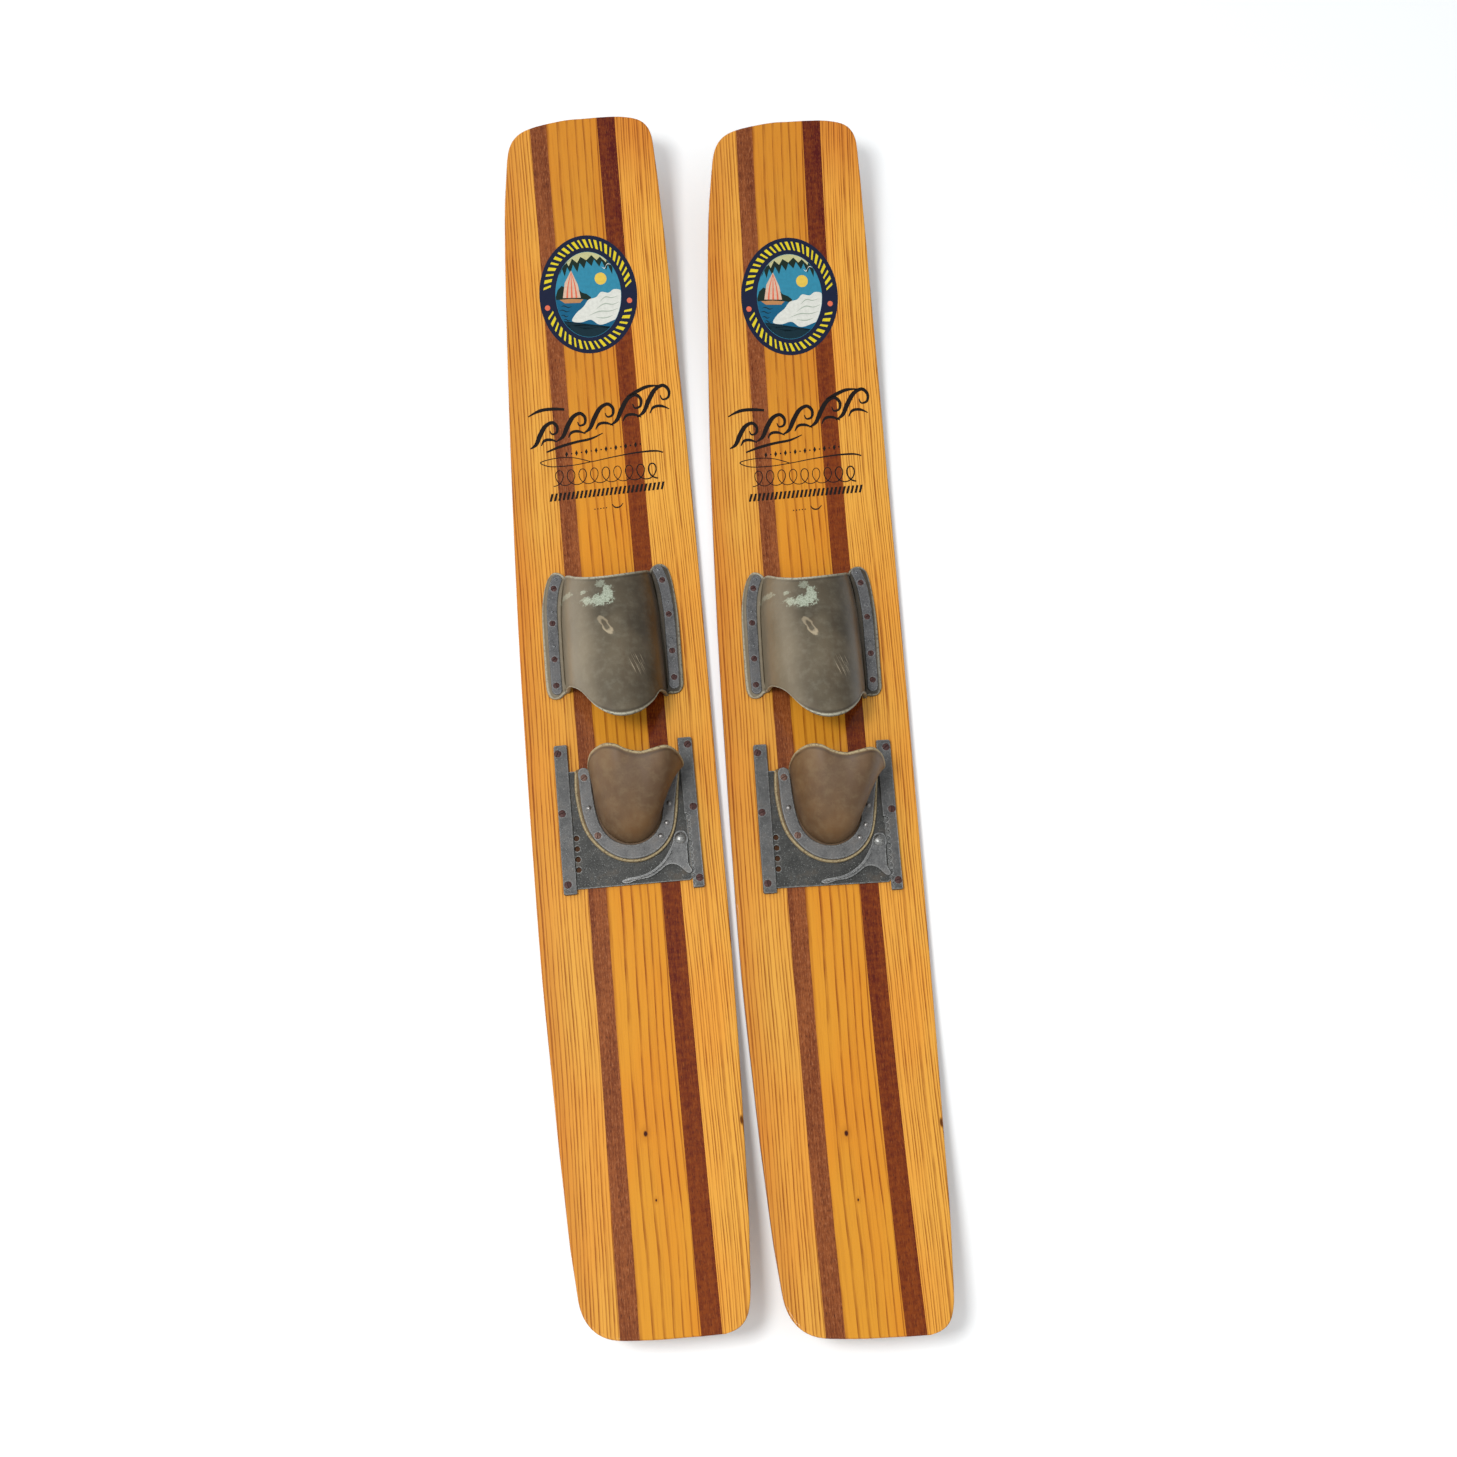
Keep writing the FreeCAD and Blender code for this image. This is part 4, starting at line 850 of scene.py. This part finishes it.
def build_heel(side):
    us = graded(235.0, 3.0)
    vs = graded(120.0, 3.0, fine=(0, 0.4, 0.9, 1.6, 2.4, 3.4, 4.6, 6.2))
    m = 801
    base = spline([(x, y, PLATE_TOP + 1.2) for x, y in CUP_BASE], m)
    rim = spline([(x, y, DECK + h) for x, y, h in CUP_RIM], m)

    def evenly(c, u):
        s = np.concatenate([[0], np.cumsum(np.linalg.norm(np.diff(c, axis=0),
                                                          axis=1))])
        s /= s[-1]
        return np.stack([np.interp(u, s, c[:, i]) for i in range(3)], 1)
    p0, p3 = evenly(base, us), evenly(rim, us)
    back = np.sin(np.pi * us) ** 1.5
    tall = p3[:, 2] - p0[:, 2]
    zero = np.zeros_like(us)
    p1 = p0 + np.stack([zero, zero, 10.0 + (0.62 * tall - 10.0) * back], 1)
    p2 = p3 - np.stack([zero, 2.0 + 34.0 * back,
                        np.minimum(5.0, 0.2 * tall)], 1)
    v = vs[None, :, None]
    w = 1 - v
    g = (p0[:, None] * w ** 3 + p1[:, None] * 3 * w * w * v
         + p2[:, None] * 3 * w * v * v + p3[:, None] * v ** 3)
    n = grid_normals(g)
    towards = np.array([6, -105, DECK + 25]) - g
    sign = np.sign((n * towards).sum(2).mean())
    mid = g + n * sign * 1.8
    V = np.broadcast_to(vs[None, :], g.shape[:2])
    wob = (np.sin(g[..., 0] * 0.12 + 0.7) * np.sin(g[..., 1] * 0.09) * 0.5
           + np.sin(g[..., 2] * 0.13 + g[..., 0] * 0.04) * 0.35)
    mid = mid - n * sign * (wob * np.clip((V - 0.25) * 2, 0, 1))[..., None]
    dc = np.linalg.norm(np.diff(mid, axis=0), axis=2)
    sc = np.concatenate([np.zeros((1, mid.shape[1])), np.cumsum(dc, 0)])
    dr = np.linalg.norm(np.diff(mid, axis=1), axis=2)
    st = np.concatenate([np.zeros((mid.shape[0], 1)), np.cumsum(dr, 1)], 1)
    rim_d = st[:, -1:] - st
    end_d = np.minimum(sc, sc[-1:] - sc)
    d = np.minimum(rim_d, end_d)
    half = edge_thickness(d, 1.8, 0.95, at=1.9, spread=1.3, roll=1.7)
    foot = np.clip(st / 1.0, 0, 1)
    half = np.minimum(half, 0.1 + 1.8 * np.sqrt(1 - (1 - foot) ** 2) + 0.8 * V)
    wear_and_crease_shade = np.exp(-((d - 1.7) / 1.6) ** 2) * np.clip(V * 4, 0, 1)
    # a painted shade line just inside the rim's bead
    wear_and_crease_shade = wear_and_crease_shade - 0.75 * np.exp(-((d - 4.9) / 1.0) ** 2) * np.clip(V * 4, 0, 1)
    cup = sheet_mesh("heel_cup_" + side, mid, half, half, wear_and_crease_shade, side)
    # flange, a flat U under the clamp with a raised bead outside it
    k = 141
    outer, inner = spline(FLANGE_OUTER, k), spline(FLANGE_INNER, k)
    cross = np.array([0, .012, .03, .055, .085, .12, .16, .2, .25, .32, .42,
                      .55, .7, .85, .95, .985, 1.0])
    ring = (outer[:, None] * (1 - cross)[None, :, None]
            + inner[:, None] * cross[None, :, None])
    # round the two front ends
    L = np.linalg.norm(outer - inner, axis=1)
    s_in = np.sqrt(np.clip(1 - (2 * cross - 1) ** 2, 0, 1))
    extra = []
    for e, sgn in ((0, 1), (-1, 1)):
        step = []
        for q in (1.0, 0.97, 0.88, 0.72, 0.5, 0.25):
            row = ring[e].copy()
            row[:, 1] += 6.6 * s_in * q
            step.append(row)
        extra.append(step)
    rows = extra[0] + [ring[i] for i in range(k)] + extra[1][::-1]
    ring = np.array(rows)
    t = (SHOE_BOTTOM - PLATE_TOP) / 2
    mid2 = np.concatenate([ring, np.full(ring.shape[:2] + (1,),
                                         PLATE_TOP + t)], 2)
    dr = np.linalg.norm(np.diff(mid2, axis=1), axis=2)
    st = np.concatenate([np.zeros((mid2.shape[0], 1)), np.cumsum(dr, 1)], 1)
    do = st
    di = st[:, -1:] - st
    rowpos = np.concatenate([[0], np.cumsum(
        np.linalg.norm(np.diff(mid2[:, 8], axis=0), axis=1))])
    de = np.minimum(rowpos, rowpos[-1] - rowpos)[:, None]
    d = np.minimum(np.minimum(do, di), de)
    up = edge_thickness(d, t, 0.0, roll=1.2)
    up = up + 1.5 * np.exp(-((do - 1.7) / 1.2) ** 2) * np.clip(d / 0.8, 0, 1)
    down = np.minimum(edge_thickness(d, t, 0.0, roll=1.2), t - 0.02)
    wear_and_crease_shade = np.exp(-((do - 1.6) / 1.7) ** 2)
    fl = sheet_mesh("heel_flange_" + side, mid2, up, down, wear_and_crease_shade, side)
    return join([cup, fl], "heel_boot_" + side)


# ---------------------------------------------------------------- printed art


def surface_under(nodes):
    """Ray caster onto the tops of the given CAD nodes."""
    co, faces, n = [], [], 0
    for name in nodes:
        me = NODES[name].data
        v = np.empty(len(me.vertices) * 3, np.float32)
        me.vertices.foreach_get("co", v)
        co.append(v.reshape(-1, 3))
        faces += [[i + n for i in p.vertices] for p in me.polygons]
        n += len(me.vertices)
    co = np.concatenate(co)
    return BVHTree.FromPolygons([Vector(c) for c in co.tolist()], faces)


def inlay(name, polygons, level, side, mat, tree, centre=(0, 0), turn=0.0,
          step=5.0):
    """Thin closed shapes of ink laid on the upturned deck.

    level is the height of their top above the surface, in mm."""
    bm = bmesh.new()
    ct, st = math.cos(turn), math.sin(turn)
    for poly in polygons:
        vs = []
        for px, py in poly:
            vs.append(bm.verts.new((centre[0] + px * ct - py * st,
                                    centre[1] + px * st + py * ct, 0)))
        bm.faces.new(vs)
    bmesh.ops.remove_doubles(bm, verts=bm.verts, dist=0.004)
    bmesh.ops.triangulate(bm, faces=bm.faces)
    ys = [v.co.y for v in bm.verts]
    y0, y1 = min(ys), max(ys)
    y = math.floor(y0 / step) * step + step
    while y < y1:
        bmesh.ops.bisect_plane(bm, geom=bm.verts[:] + bm.edges[:] + bm.faces[:],
                               plane_co=(0, y, 0), plane_no=(0, 1, 0))
        y += step
    co = np.array([v.co[:] for v in bm.verts])
    co[:, 2] = DECK + rise_at(co[:, 1])
    row = to_row(co, side)
    down = Vector((0, 0, -1))
    for v, c in zip(bm.verts, row):
        hit = tree.ray_cast(Vector((c[0], c[1], 0.3)), down)[0]
        top = hit.z if hit is not None else c[2]
        v.co = (c[0], c[1], top + level / 1000)
    for f in bm.faces:
        f.normal_update()
        if f.normal.z < 0:
            f.normal_flip()
    me = bpy.data.meshes.new(name)
    bm.to_mesh(me)
    bm.free()
    me.materials.append(mat)
    o = bpy.data.objects.new(name, me)
    bpy.context.scene.collection.objects.link(o)
    thick = o.modifiers.new("thickness", "SOLIDIFY")
    thick.thickness = 0.00012
    thick.offset = -1.0
    return o


def stroke(points, widths, n=60):
    """Outline of a brush stroke along a smooth line, as one polygon."""
    c = spline(points, n)
    w = np.interp(np.linspace(0, 1, n), np.linspace(0, 1, len(widths)), widths)
    t = np.gradient(c, axis=0)
    t /= np.linalg.norm(t, axis=1, keepdims=True)
    nrm = np.stack([-t[:, 1], t[:, 0]], 1)
    a = c + nrm * w[:, None] / 2
    b = c - nrm * w[:, None] / 2
    return a, b


def stroke_quads(points, widths, n=60):
    a, b = stroke(points, widths, n)
    return [[tuple(a[i]), tuple(b[i]), tuple(b[i + 1]), tuple(a[i + 1])]
            for i in range(n - 1)]


def ellipse(cx, cy, a, b, n=72):
    return [(cx + a * math.cos(t), cy + b * math.sin(t))
            for t in np.linspace(0, 2 * math.pi, n, endpoint=False)]


PIC_A, PIC_B = 38.7, 51.0     # the oval picture inside the border


def clipped(points, k=0.992, every=1.2):
    """Closed outline, walked finely and held inside the picture's oval."""
    out = []
    n = len(points)
    for i in range(n):
        p, q = np.array(points[i], float), np.array(points[(i + 1) % n], float)
        m = max(1, int(np.linalg.norm(q - p) / every))
        for j in range(m):
            x, y = p + (q - p) * j / m
            r = math.hypot(x / PIC_A, y / PIC_B)
            if r > k:
                x, y = x * k / r, y * k / r
            if not out or math.hypot(out[-1][0] - x, out[-1][1] - y) > 0.25:
                out.append((x, y))
    if math.hypot(out[0][0] - out[-1][0], out[0][1] - out[-1][1]) < 0.25:
        out.pop()
    return out


def soft(points, n=60):
    """Closed smooth outline through the points."""
    return [tuple(p) for p in spline(points, n + 1, True)[:-1]]


def picture_layers():
    """A plain seaside picture: (name, polygons, level, ink)."""
    layers = [("sky", [ellipse(0, 0, PIC_A, PIC_B, 96)], 0.04, "sky")]
    layers.append(("sun", [ellipse(15, 19, 7.0, 7.2, 40)], 0.07, "straw"))
    hills = [(-39, -4), (-36, 6), (-31, 11), (-25, 8), (-20, 13), (-13, 9),
             (-8, 3), (-2, 1), (3, -3), (3, -9), (-39, -9)]
    layers.append(("hills", [clipped(hills)], 0.07, "leaf"))
    sea = [(-40, -6), (-28, -5), (-20, -7), (-8, -5), (6, -7), (20, -4),
           (40, -6), (40, -60), (-40, -60)]
    layers.append(("sea", [clipped(sea)], 0.10, "sea"))
    leaf = [(-34, 60), (-33, 24), (-30, 31), (-27, 22), (-24, 33), (-20, 26),
            (-17, 36), (-12, 27), (-9, 38), (-4, 31), (-1, 40), (5, 34),
            (8, 42), (14, 33), (17, 40), (22, 29), (24, 35), (29, 24),
            (31, 60)]
    layers.append(("leaves", [clipped(leaf)], 0.10, "leaf"))
    fringe = [(-31, 60), (-30, 36), (-26, 41), (-22, 34), (-18, 43),
              (-12, 38), (-8, 45), (-1, 41), (5, 47), (11, 41), (15, 45),
              (22, 38), (26, 60)]
    layers.append(("leaf_tops", [clipped(fringe)], 0.13, "straw_pale"))
    wave = soft([(39, 4), (30, 6), (24, 2), (15, 3), (9, -3), (0, -6),
                 (-6, -14), (-15, -22), (-20, -31), (-10, -33), (2, -30),
                 (12, -36), (26, -32), (39, -24)], 110)
    layers.append(("wave", [clipped(wave)], 0.16, "foam"))
    layers.append(("bottom", [clipped([(-40, -41), (-18, -38), (-4, -42),
                                       (12, -39), (28, -42), (40, -60),
                                       (-40, -60)])], 0.19, "deep"))
    ripples = []
    for y0, xa, xb in ((-14, -33, -20), (-19, -35, -22), (-25, -33, -24),
                       (-30, -30, -22), (-35, -26, -8), (-38, -18, 4)):
        ripples += stroke_quads([(xa, y0), ((xa * 2 + xb) / 3, y0 + 1.1),
                                 ((xa + xb * 2) / 3, y0 - 0.9), (xb, y0 + 0.4)],
                                [0.3, 1.2, 1.2, 0.3], 14)
    layers.append(("ripples", ripples, 0.14, "deep"))
    shade = []
    for pts in (((34, -2), (27, -4), (20, -3), (13, -9)),
                ((36, -9), (28, -12), (19, -11), (8, -18)),
                ((34, -17), (24, -20), (13, -20), (0, -25)),
                ((28, -25), (19, -28), (8, -27))):
        shade += stroke_quads(pts, [0.3, 1.1, 1.3, 0.2], 18)
    layers.append(("wave_shade", shade, 0.20, "foam_grey"))
    sail = [(-19.5, 29), (-12.0, 12), (-9.0, -3.5), (-30, -3.5), (-27.5, 14)]
    layers.append(("sail", [clipped(sail)], 0.16, "canvas"))
    stripes = []
    for f in (0.24, 0.5, 0.76):
        top = (-19.5, 27.0)
        foot = (-30 + 21 * f, -3.5)
        mid = ((top[0] + foot[0]) / 2 + (f - 0.5) * 5, 11.0)
        stripes += stroke_quads([top, mid, foot], [0.4, 1.3, 2.2], 16)
    layers.append(("sail_stripes", stripes, 0.19, "coral"))
    hull = [(-34, -5.5), (-20, -4.6), (-6, -5.5), (-10, -9.5), (-28, -9.8)]
    layers.append(("hull", [clipped(hull)], 0.17, "tan"))
    layers.append(("gulls", stroke_quads([(17, 33), (20, 31), (21.5, 33.6)],
                                         [0.2, 1.0, 0.2], 12)
                   + stroke_quads([(21.5, 33.6), (24, 36.4), (27.5, 35.2)],
                                  [0.2, 1.0, 0.2], 12), 0.16, "foam"))
    # border: a run of slanted marks above and below, a dot at each side
    marks = []
    for a0, a1, n in ((171, 12, 23), (203, 341, 19)):
        for i in range(n):
            t = math.radians(a0 + (a1 - a0) * i / (n - 1))
            w = math.radians(2.0 if i % 2 else 1.3)
            lean = math.radians(2.4)
            q = []
            for dt, k in ((-w - lean, 0.775), (w - lean, 0.775),
                          (w + lean, 0.915), (-w + lean, 0.915)):
                q.append((57.6 * k * math.cos(t + dt) * 1.0,
                          70.3 * (k + 0.02) * math.sin(t + dt)))
            marks.append(q)
    layers.append(("border_marks", marks, 0.05, "yellow"))
    layers.append(("border_dots", [ellipse(-48.4, -15.0, 3.1, 3.2, 28),
                                   ellipse(48.2, -7.6, 3.1, 3.2, 28)], 0.05,
                   "coral"))
    return layers


INKS = {"sky": (62, 146, 176), "straw": (240, 206, 92), "leaf": (40, 54, 48),
        "sea": (36, 104, 140), "straw_pale": (206, 204, 152),
        "foam": (232, 234, 226), "foam_grey": (178, 190, 176),
        "deep": (32, 56, 66), "canvas": (228, 196, 172),
        "coral": (236, 120, 92), "tan": (196, 142, 96),
        "yellow": (236, 216, 52)}


def deck_point(u, v):
    """Layout sheet (1 unit = 1.17 mm, v down) to the ski frame."""
    return (3.01 + 1.165 * u - 0.0906 * v - 0.000145 * u * v,
            293.08 - 0.0688 * u - 1.2229 * v - 0.000049 * u * v)


def ornament():
    """Black ornament between the transfer and the toe piece: breaking waves
    drawn with a brush, a rule, a chain of loops and two rows of marks."""
    thick, fine = [], []

    def lay(points, widths, n, out):
        pts = [deck_point(u, v) for u, v in points]
        out += stroke_quads(pts, [w * 1.35 for w in widths], n)
    # five curling crests, rising to the right
    for i in range(5):
        u0 = -70 + i * 26.5
        v0 = -1 - i * 7.6
        k = 1.0 + 0.05 * i
        crest = [(0, 0), (5.5, -4), (10, -14), (15.5, -23), (22, -26),
                 (26.5, -22), (26, -16), (21.5, -14.5), (19.5, -18)]
        lay([(u0 + a * k, v0 + b * k) for a, b in crest],
            [1.0, 3.2, 4.2, 4.0, 3.2, 3.0, 2.4, 1.8, 0.8], 56, thick)
        under = [(11, -3), (14, -8), (20, -9), (27, -6.5)]
        lay([(u0 + a * k, v0 + b * k) for a, b in under],
            [0.8, 2.6, 2.6, 0.8], 22, thick)
    lay([(-72, -33), (-60, -39), (-48, -40.5), (-36, -40)],
        [1.0, 3.0, 3.0, 2.2], 30, thick)
    lay([(26, -52), (36, -57), (46, -61.5), (57, -62.5)],
        [1.0, 3.4, 3.0, 1.2], 30, thick)
    # the rule under the waves
    lay([(-54, 2.5), (-40, -3), (-24, -7.5), (-10, -10.5), (2, -16)],
        [1.4, 2.6, 2.4, 2.2, 0.8], 40, thick)
    # row of small marks: lozenges and dots
    marks = []
    for i in range(16):
        u = -34 + i * 4.9
        v = 4.8 - i * 0.62
        a, b = (1.5, 3.0) if i % 2 == 0 else (1.0, 1.0)
        q = [(u - a, v), (u, v - b), (u + a, v), (u, v + b)]
        marks.append([deck_point(*c) for c in q])
    # long open loop with a tail, then a chain of loops beneath
    lay([(-10, 12.5), (-28, 8.2), (-46, 8.8), (-60, 13.0), (-52, 16.6),
         (-30, 16.0), (-8, 12.2), (14, 7.6), (40, 3.4), (56, 2.6), (62, 4.0)],
        [0.9, 0.7, 0.8, 0.9, 0.9, 0.8, 0.8, 0.9, 1.2, 1.8, 1.2], 150, fine)
    loops = []
    for j in range(241):
        t = j / 240 * 2 * math.pi * 9
        loops.append((-47 + 104 * j / 240 - 6.4 * math.sin(t) * -1,
                      29.0 - 7.0 * j / 240 + 7.6 * math.cos(t)))
    lay(loops, [0.8, 0.7, 0.8, 0.7, 0.8, 0.7, 0.8, 1.0, 1.4], 430, fine)
    # twisted band
    for i in range(27):
        u = -49 + i * 4.25
        v = 48.0 - i * 0.42
        w = 1.15
        q = [(u - w - 0.9, v + 3.9), (u + w - 0.9, v + 3.9),
             (u + w + 0.9, v - 3.9), (u - w + 0.9, v - 3.9)]
        marks.append([deck_point(*c) for c in q])
    for i in range(5):
        u, v = -6 + i * 2.9, 60.0 - i * 0.35
        q = [(u - 0.8, v), (u, v - 0.8), (u + 0.8, v), (u, v + 0.8)]
        marks.append([deck_point(*c) for c in q])
    lay([(11, 55.0), (14, 58.2), (18.5, 58.0), (22, 54.2)],
        [0.6, 1.3, 1.2, 0.6], 20, fine)
    return thick, fine, marks


# ---------------------------------------------------------------- build
print("mesh building")
made = {}
for side in SIDES:
    ski, heel, latch = side + "_ski", side + "_heel", side + "_latch"
    give(side + "_outer_plank_left", wood_ash(side, "left"))
    give(side + "_centre_plank", wood_ash(side, "centre"))
    give(side + "_outer_plank_right", wood_ash(side, "right"))
    give(side + "_stripe_left", wood_mahogany(side, "left"))
    give(side + "_stripe_right", wood_mahogany(side, "right"))
    cast = alloy("casting", side, (srgb(26, 27, 27), srgb(74, 75, 73)),
                 warm=0.30, seed=2.0, edge_amount=0.4)
    rail = alloy("rail_casting", side, (srgb(50, 51, 52), srgb(98, 99, 99)),
                 warm=0.15, seed=9.0, edge_amount=0.4)
    strip = alloy("strip_metal", side, (srgb(56, 57, 59), srgb(104, 105, 107)),
                  warm=0.1, seed=15.0, edge_amount=0.5)
    for n in ("rail_left", "rail_right"):
        give(side + "_" + n, rail)
    for n in ("toe_strip_left", "toe_strip_right"):
        give(side + "_" + n, strip)
    give(side + "_heel_plate", cast)
    give(side + "_horseshoe", alloy("horseshoe_casting", side,
                                    (srgb(60, 61, 62), srgb(114, 114, 114)),
                                    warm=0.2, seed=21.0))
    give(side + "_latch_lever", alloy("lever_metal", side,
                                      (srgb(62, 63, 64), srgb(116, 117, 117)),
                                      warm=0.2, seed=27.0, rough=0.42,
                                      metal=0.6, edge_amount=0.35))
    give(side + "_latch_pin", bright("pin_metal", side, (146, 147, 145), 3.0))
    give(side + "_toe_screws", rusty("toe_screw_rust", side, 1.0))
    give(side + "_rail_screws", rusty("rail_screw_rust", side, 5.0))
    give(side + "_horseshoe_screws",
         rusty("shoe_screw_rust", side, 8.0,
               ((70, 48, 40), (98, 72, 62), (132, 104, 90))))
    give(side + "_toe_pins", bright("toe_pin_metal", side, (120, 122, 126), 4.0))
    give(side + "_horseshoe_rivets", bright("rivet_metal", side,
                                            (150, 148, 146), 6.0))
    give(side + "_decal", paint("ink_navy", side, srgb(15, 24, 50), seed=1.0))

    boot = build_toe(side)
    boot.data.materials.append(rubber(
        "toe_rubber", side, srgb(92, 83, 66), srgb(67, 60, 46),
        srgb(166, 165, 148), seed=0.0, patch=True))
    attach(boot, ski)
    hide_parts(side + "_toe_rubber")

    cup = build_heel(side)
    cup.data.materials.append(rubber(
        "heel_rubber", side, srgb(104, 79, 51), srgb(84, 62, 40),
        srgb(160, 146, 112), seed=6.0, matte=0.18))
    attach(cup, heel)
    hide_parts(side + "_heel_rubber")

    film = surface_under([side + "_decal"])
    for name, polys, level, ink in picture_layers():
        o = inlay("art_%s_%s" % (name, side), polys, level, side,
                  paint("ink_%s_%s" % (name, ink), side, seen(*INKS[ink]),
                        seed=len(name)), film, (3.2, 480.4), math.radians(-2.7))
        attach(o, ski)
    deck = surface_under([side + "_" + n for n in (
        "outer_plank_left", "stripe_left", "centre_plank", "stripe_right",
        "outer_plank_right")])
    black = paint("ink_black", side, srgb(20, 13, 12), var=0.3, seed=3.0)
    for name, polys, level in zip(("brush", "line", "marks"), ornament(),
                                  (0.05, 0.06, 0.05)):
        o = inlay("ornament_%s_%s" % (name, side), polys, level, side, black,
                  deck)
        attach(o, ski)

# ---------------------------------------------------------------- stage
floor_mesh = bpy.data.meshes.new("floor")
F = 6.0
floor_mesh.from_pydata([(-F, -F, 0), (F, -F, 0), (F, F, 0), (-F, F, 0)], [],
                       [(0, 1, 2, 3)])
floor = bpy.data.objects.new("floor", floor_mesh)
bpy.context.scene.collection.objects.link(floor)
fm = Shader("floor_paper")
tc = fm.node("ShaderNodeTexCoord")
fn = fm.node("ShaderNodeTexNoise")
fn.inputs["Scale"].default_value = 3.0
fm.t.links.new(tc.outputs["Object"], fn.inputs["Vector"])
fcol = fm.mix(fn.outputs[0], (0.87, 0.90, 0.92), (0.89, 0.92, 0.94))
fb = fm.node("ShaderNodeBsdfPrincipled")
fm.put(fb.inputs["Base Color"], fcol)
fb.inputs["Roughness"].default_value = 0.9
fb.inputs["Specular IOR Level"].default_value = 0.1
fm.t.links.new(fb.outputs[0], fm.out.inputs[0])
floor_mesh.materials.append(fm.mat)

# ---------------------------------------------------------------- light
bpy.context.scene.view_settings.view_transform = "Standard"
world = bpy.data.worlds.new("studio")
bpy.context.scene.world = world
world.use_nodes = True
wt = world.node_tree
bg = wt.nodes["Background"]
bg.inputs[0].default_value = (1.0, 1.0, 1.0, 1.0)
# a pale room, brighter on the left, where the window side is
wc = wt.nodes.new("ShaderNodeTexCoord")
ws = wt.nodes.new("ShaderNodeSeparateXYZ")
wr = wt.nodes.new("ShaderNodeMapRange")
wt.links.new(wc.outputs["Generated"], ws.inputs[0])
wt.links.new(ws.outputs[0], wr.inputs[0])
for i, v in enumerate((-1.0, 1.0, 1.15, 0.40)):
    wr.inputs[i + 1].default_value = v
wt.links.new(wr.outputs[0], bg.inputs[1])


def area(name, loc, target, size, power, color=(1, 1, 1), size_y=None):
    d = bpy.data.lights.new(name, "AREA")
    d.energy = power
    d.color = color
    d.size = size
    if size_y:
        d.shape = "RECTANGLE"
        d.size_y = size_y
    o = bpy.data.objects.new(name, d)
    bpy.context.scene.collection.objects.link(o)
    o.location = loc
    direction = Vector(target) - Vector(loc)
    o.rotation_euler = direction.to_track_quat("-Z", "Y").to_euler()
    return o


area("key", (-0.95, -0.22, 2.6), (0, 0, 0), 0.62, 45, (1.0, 0.985, 0.965))
area("fill", (1.2, -0.8, 2.4), (0, 0, 0), 1.6, 6, (0.97, 0.985, 1.0))

# ---------------------------------------------------------------- camera
R = ((0.9959480684022611, -0.08006369836142144, 0.04095423360894898),
     (0.06621318793836331, 0.9610003959998513, 0.2685033568340772),
     (-0.060854406486663085, -0.26470368923160126, 0.9624077608365051))
CAM = (-106.75457709, -547.34470468, 1841.72008719)
F_PX = 1700.0
cam_data = bpy.data.cameras.new("camera")
cam_data.sensor_width = 36.0
cam_data.sensor_fit = "HORIZONTAL"
cam_data.lens = F_PX / 1457.0 * 36.0
cam_data.clip_start = 0.05
cam_data.clip_end = 50.0
cam = bpy.data.objects.new("camera", cam_data)
bpy.context.scene.collection.objects.link(cam)
rot = Matrix(R).transposed().to_4x4()
cam.matrix_world = Matrix.Translation((
    (CAM[0] + SHIFT[0]) / 1000, (CAM[1] + SHIFT[1]) / 1000, CAM[2] / 1000)) @ rot
bpy.context.scene.camera = cam
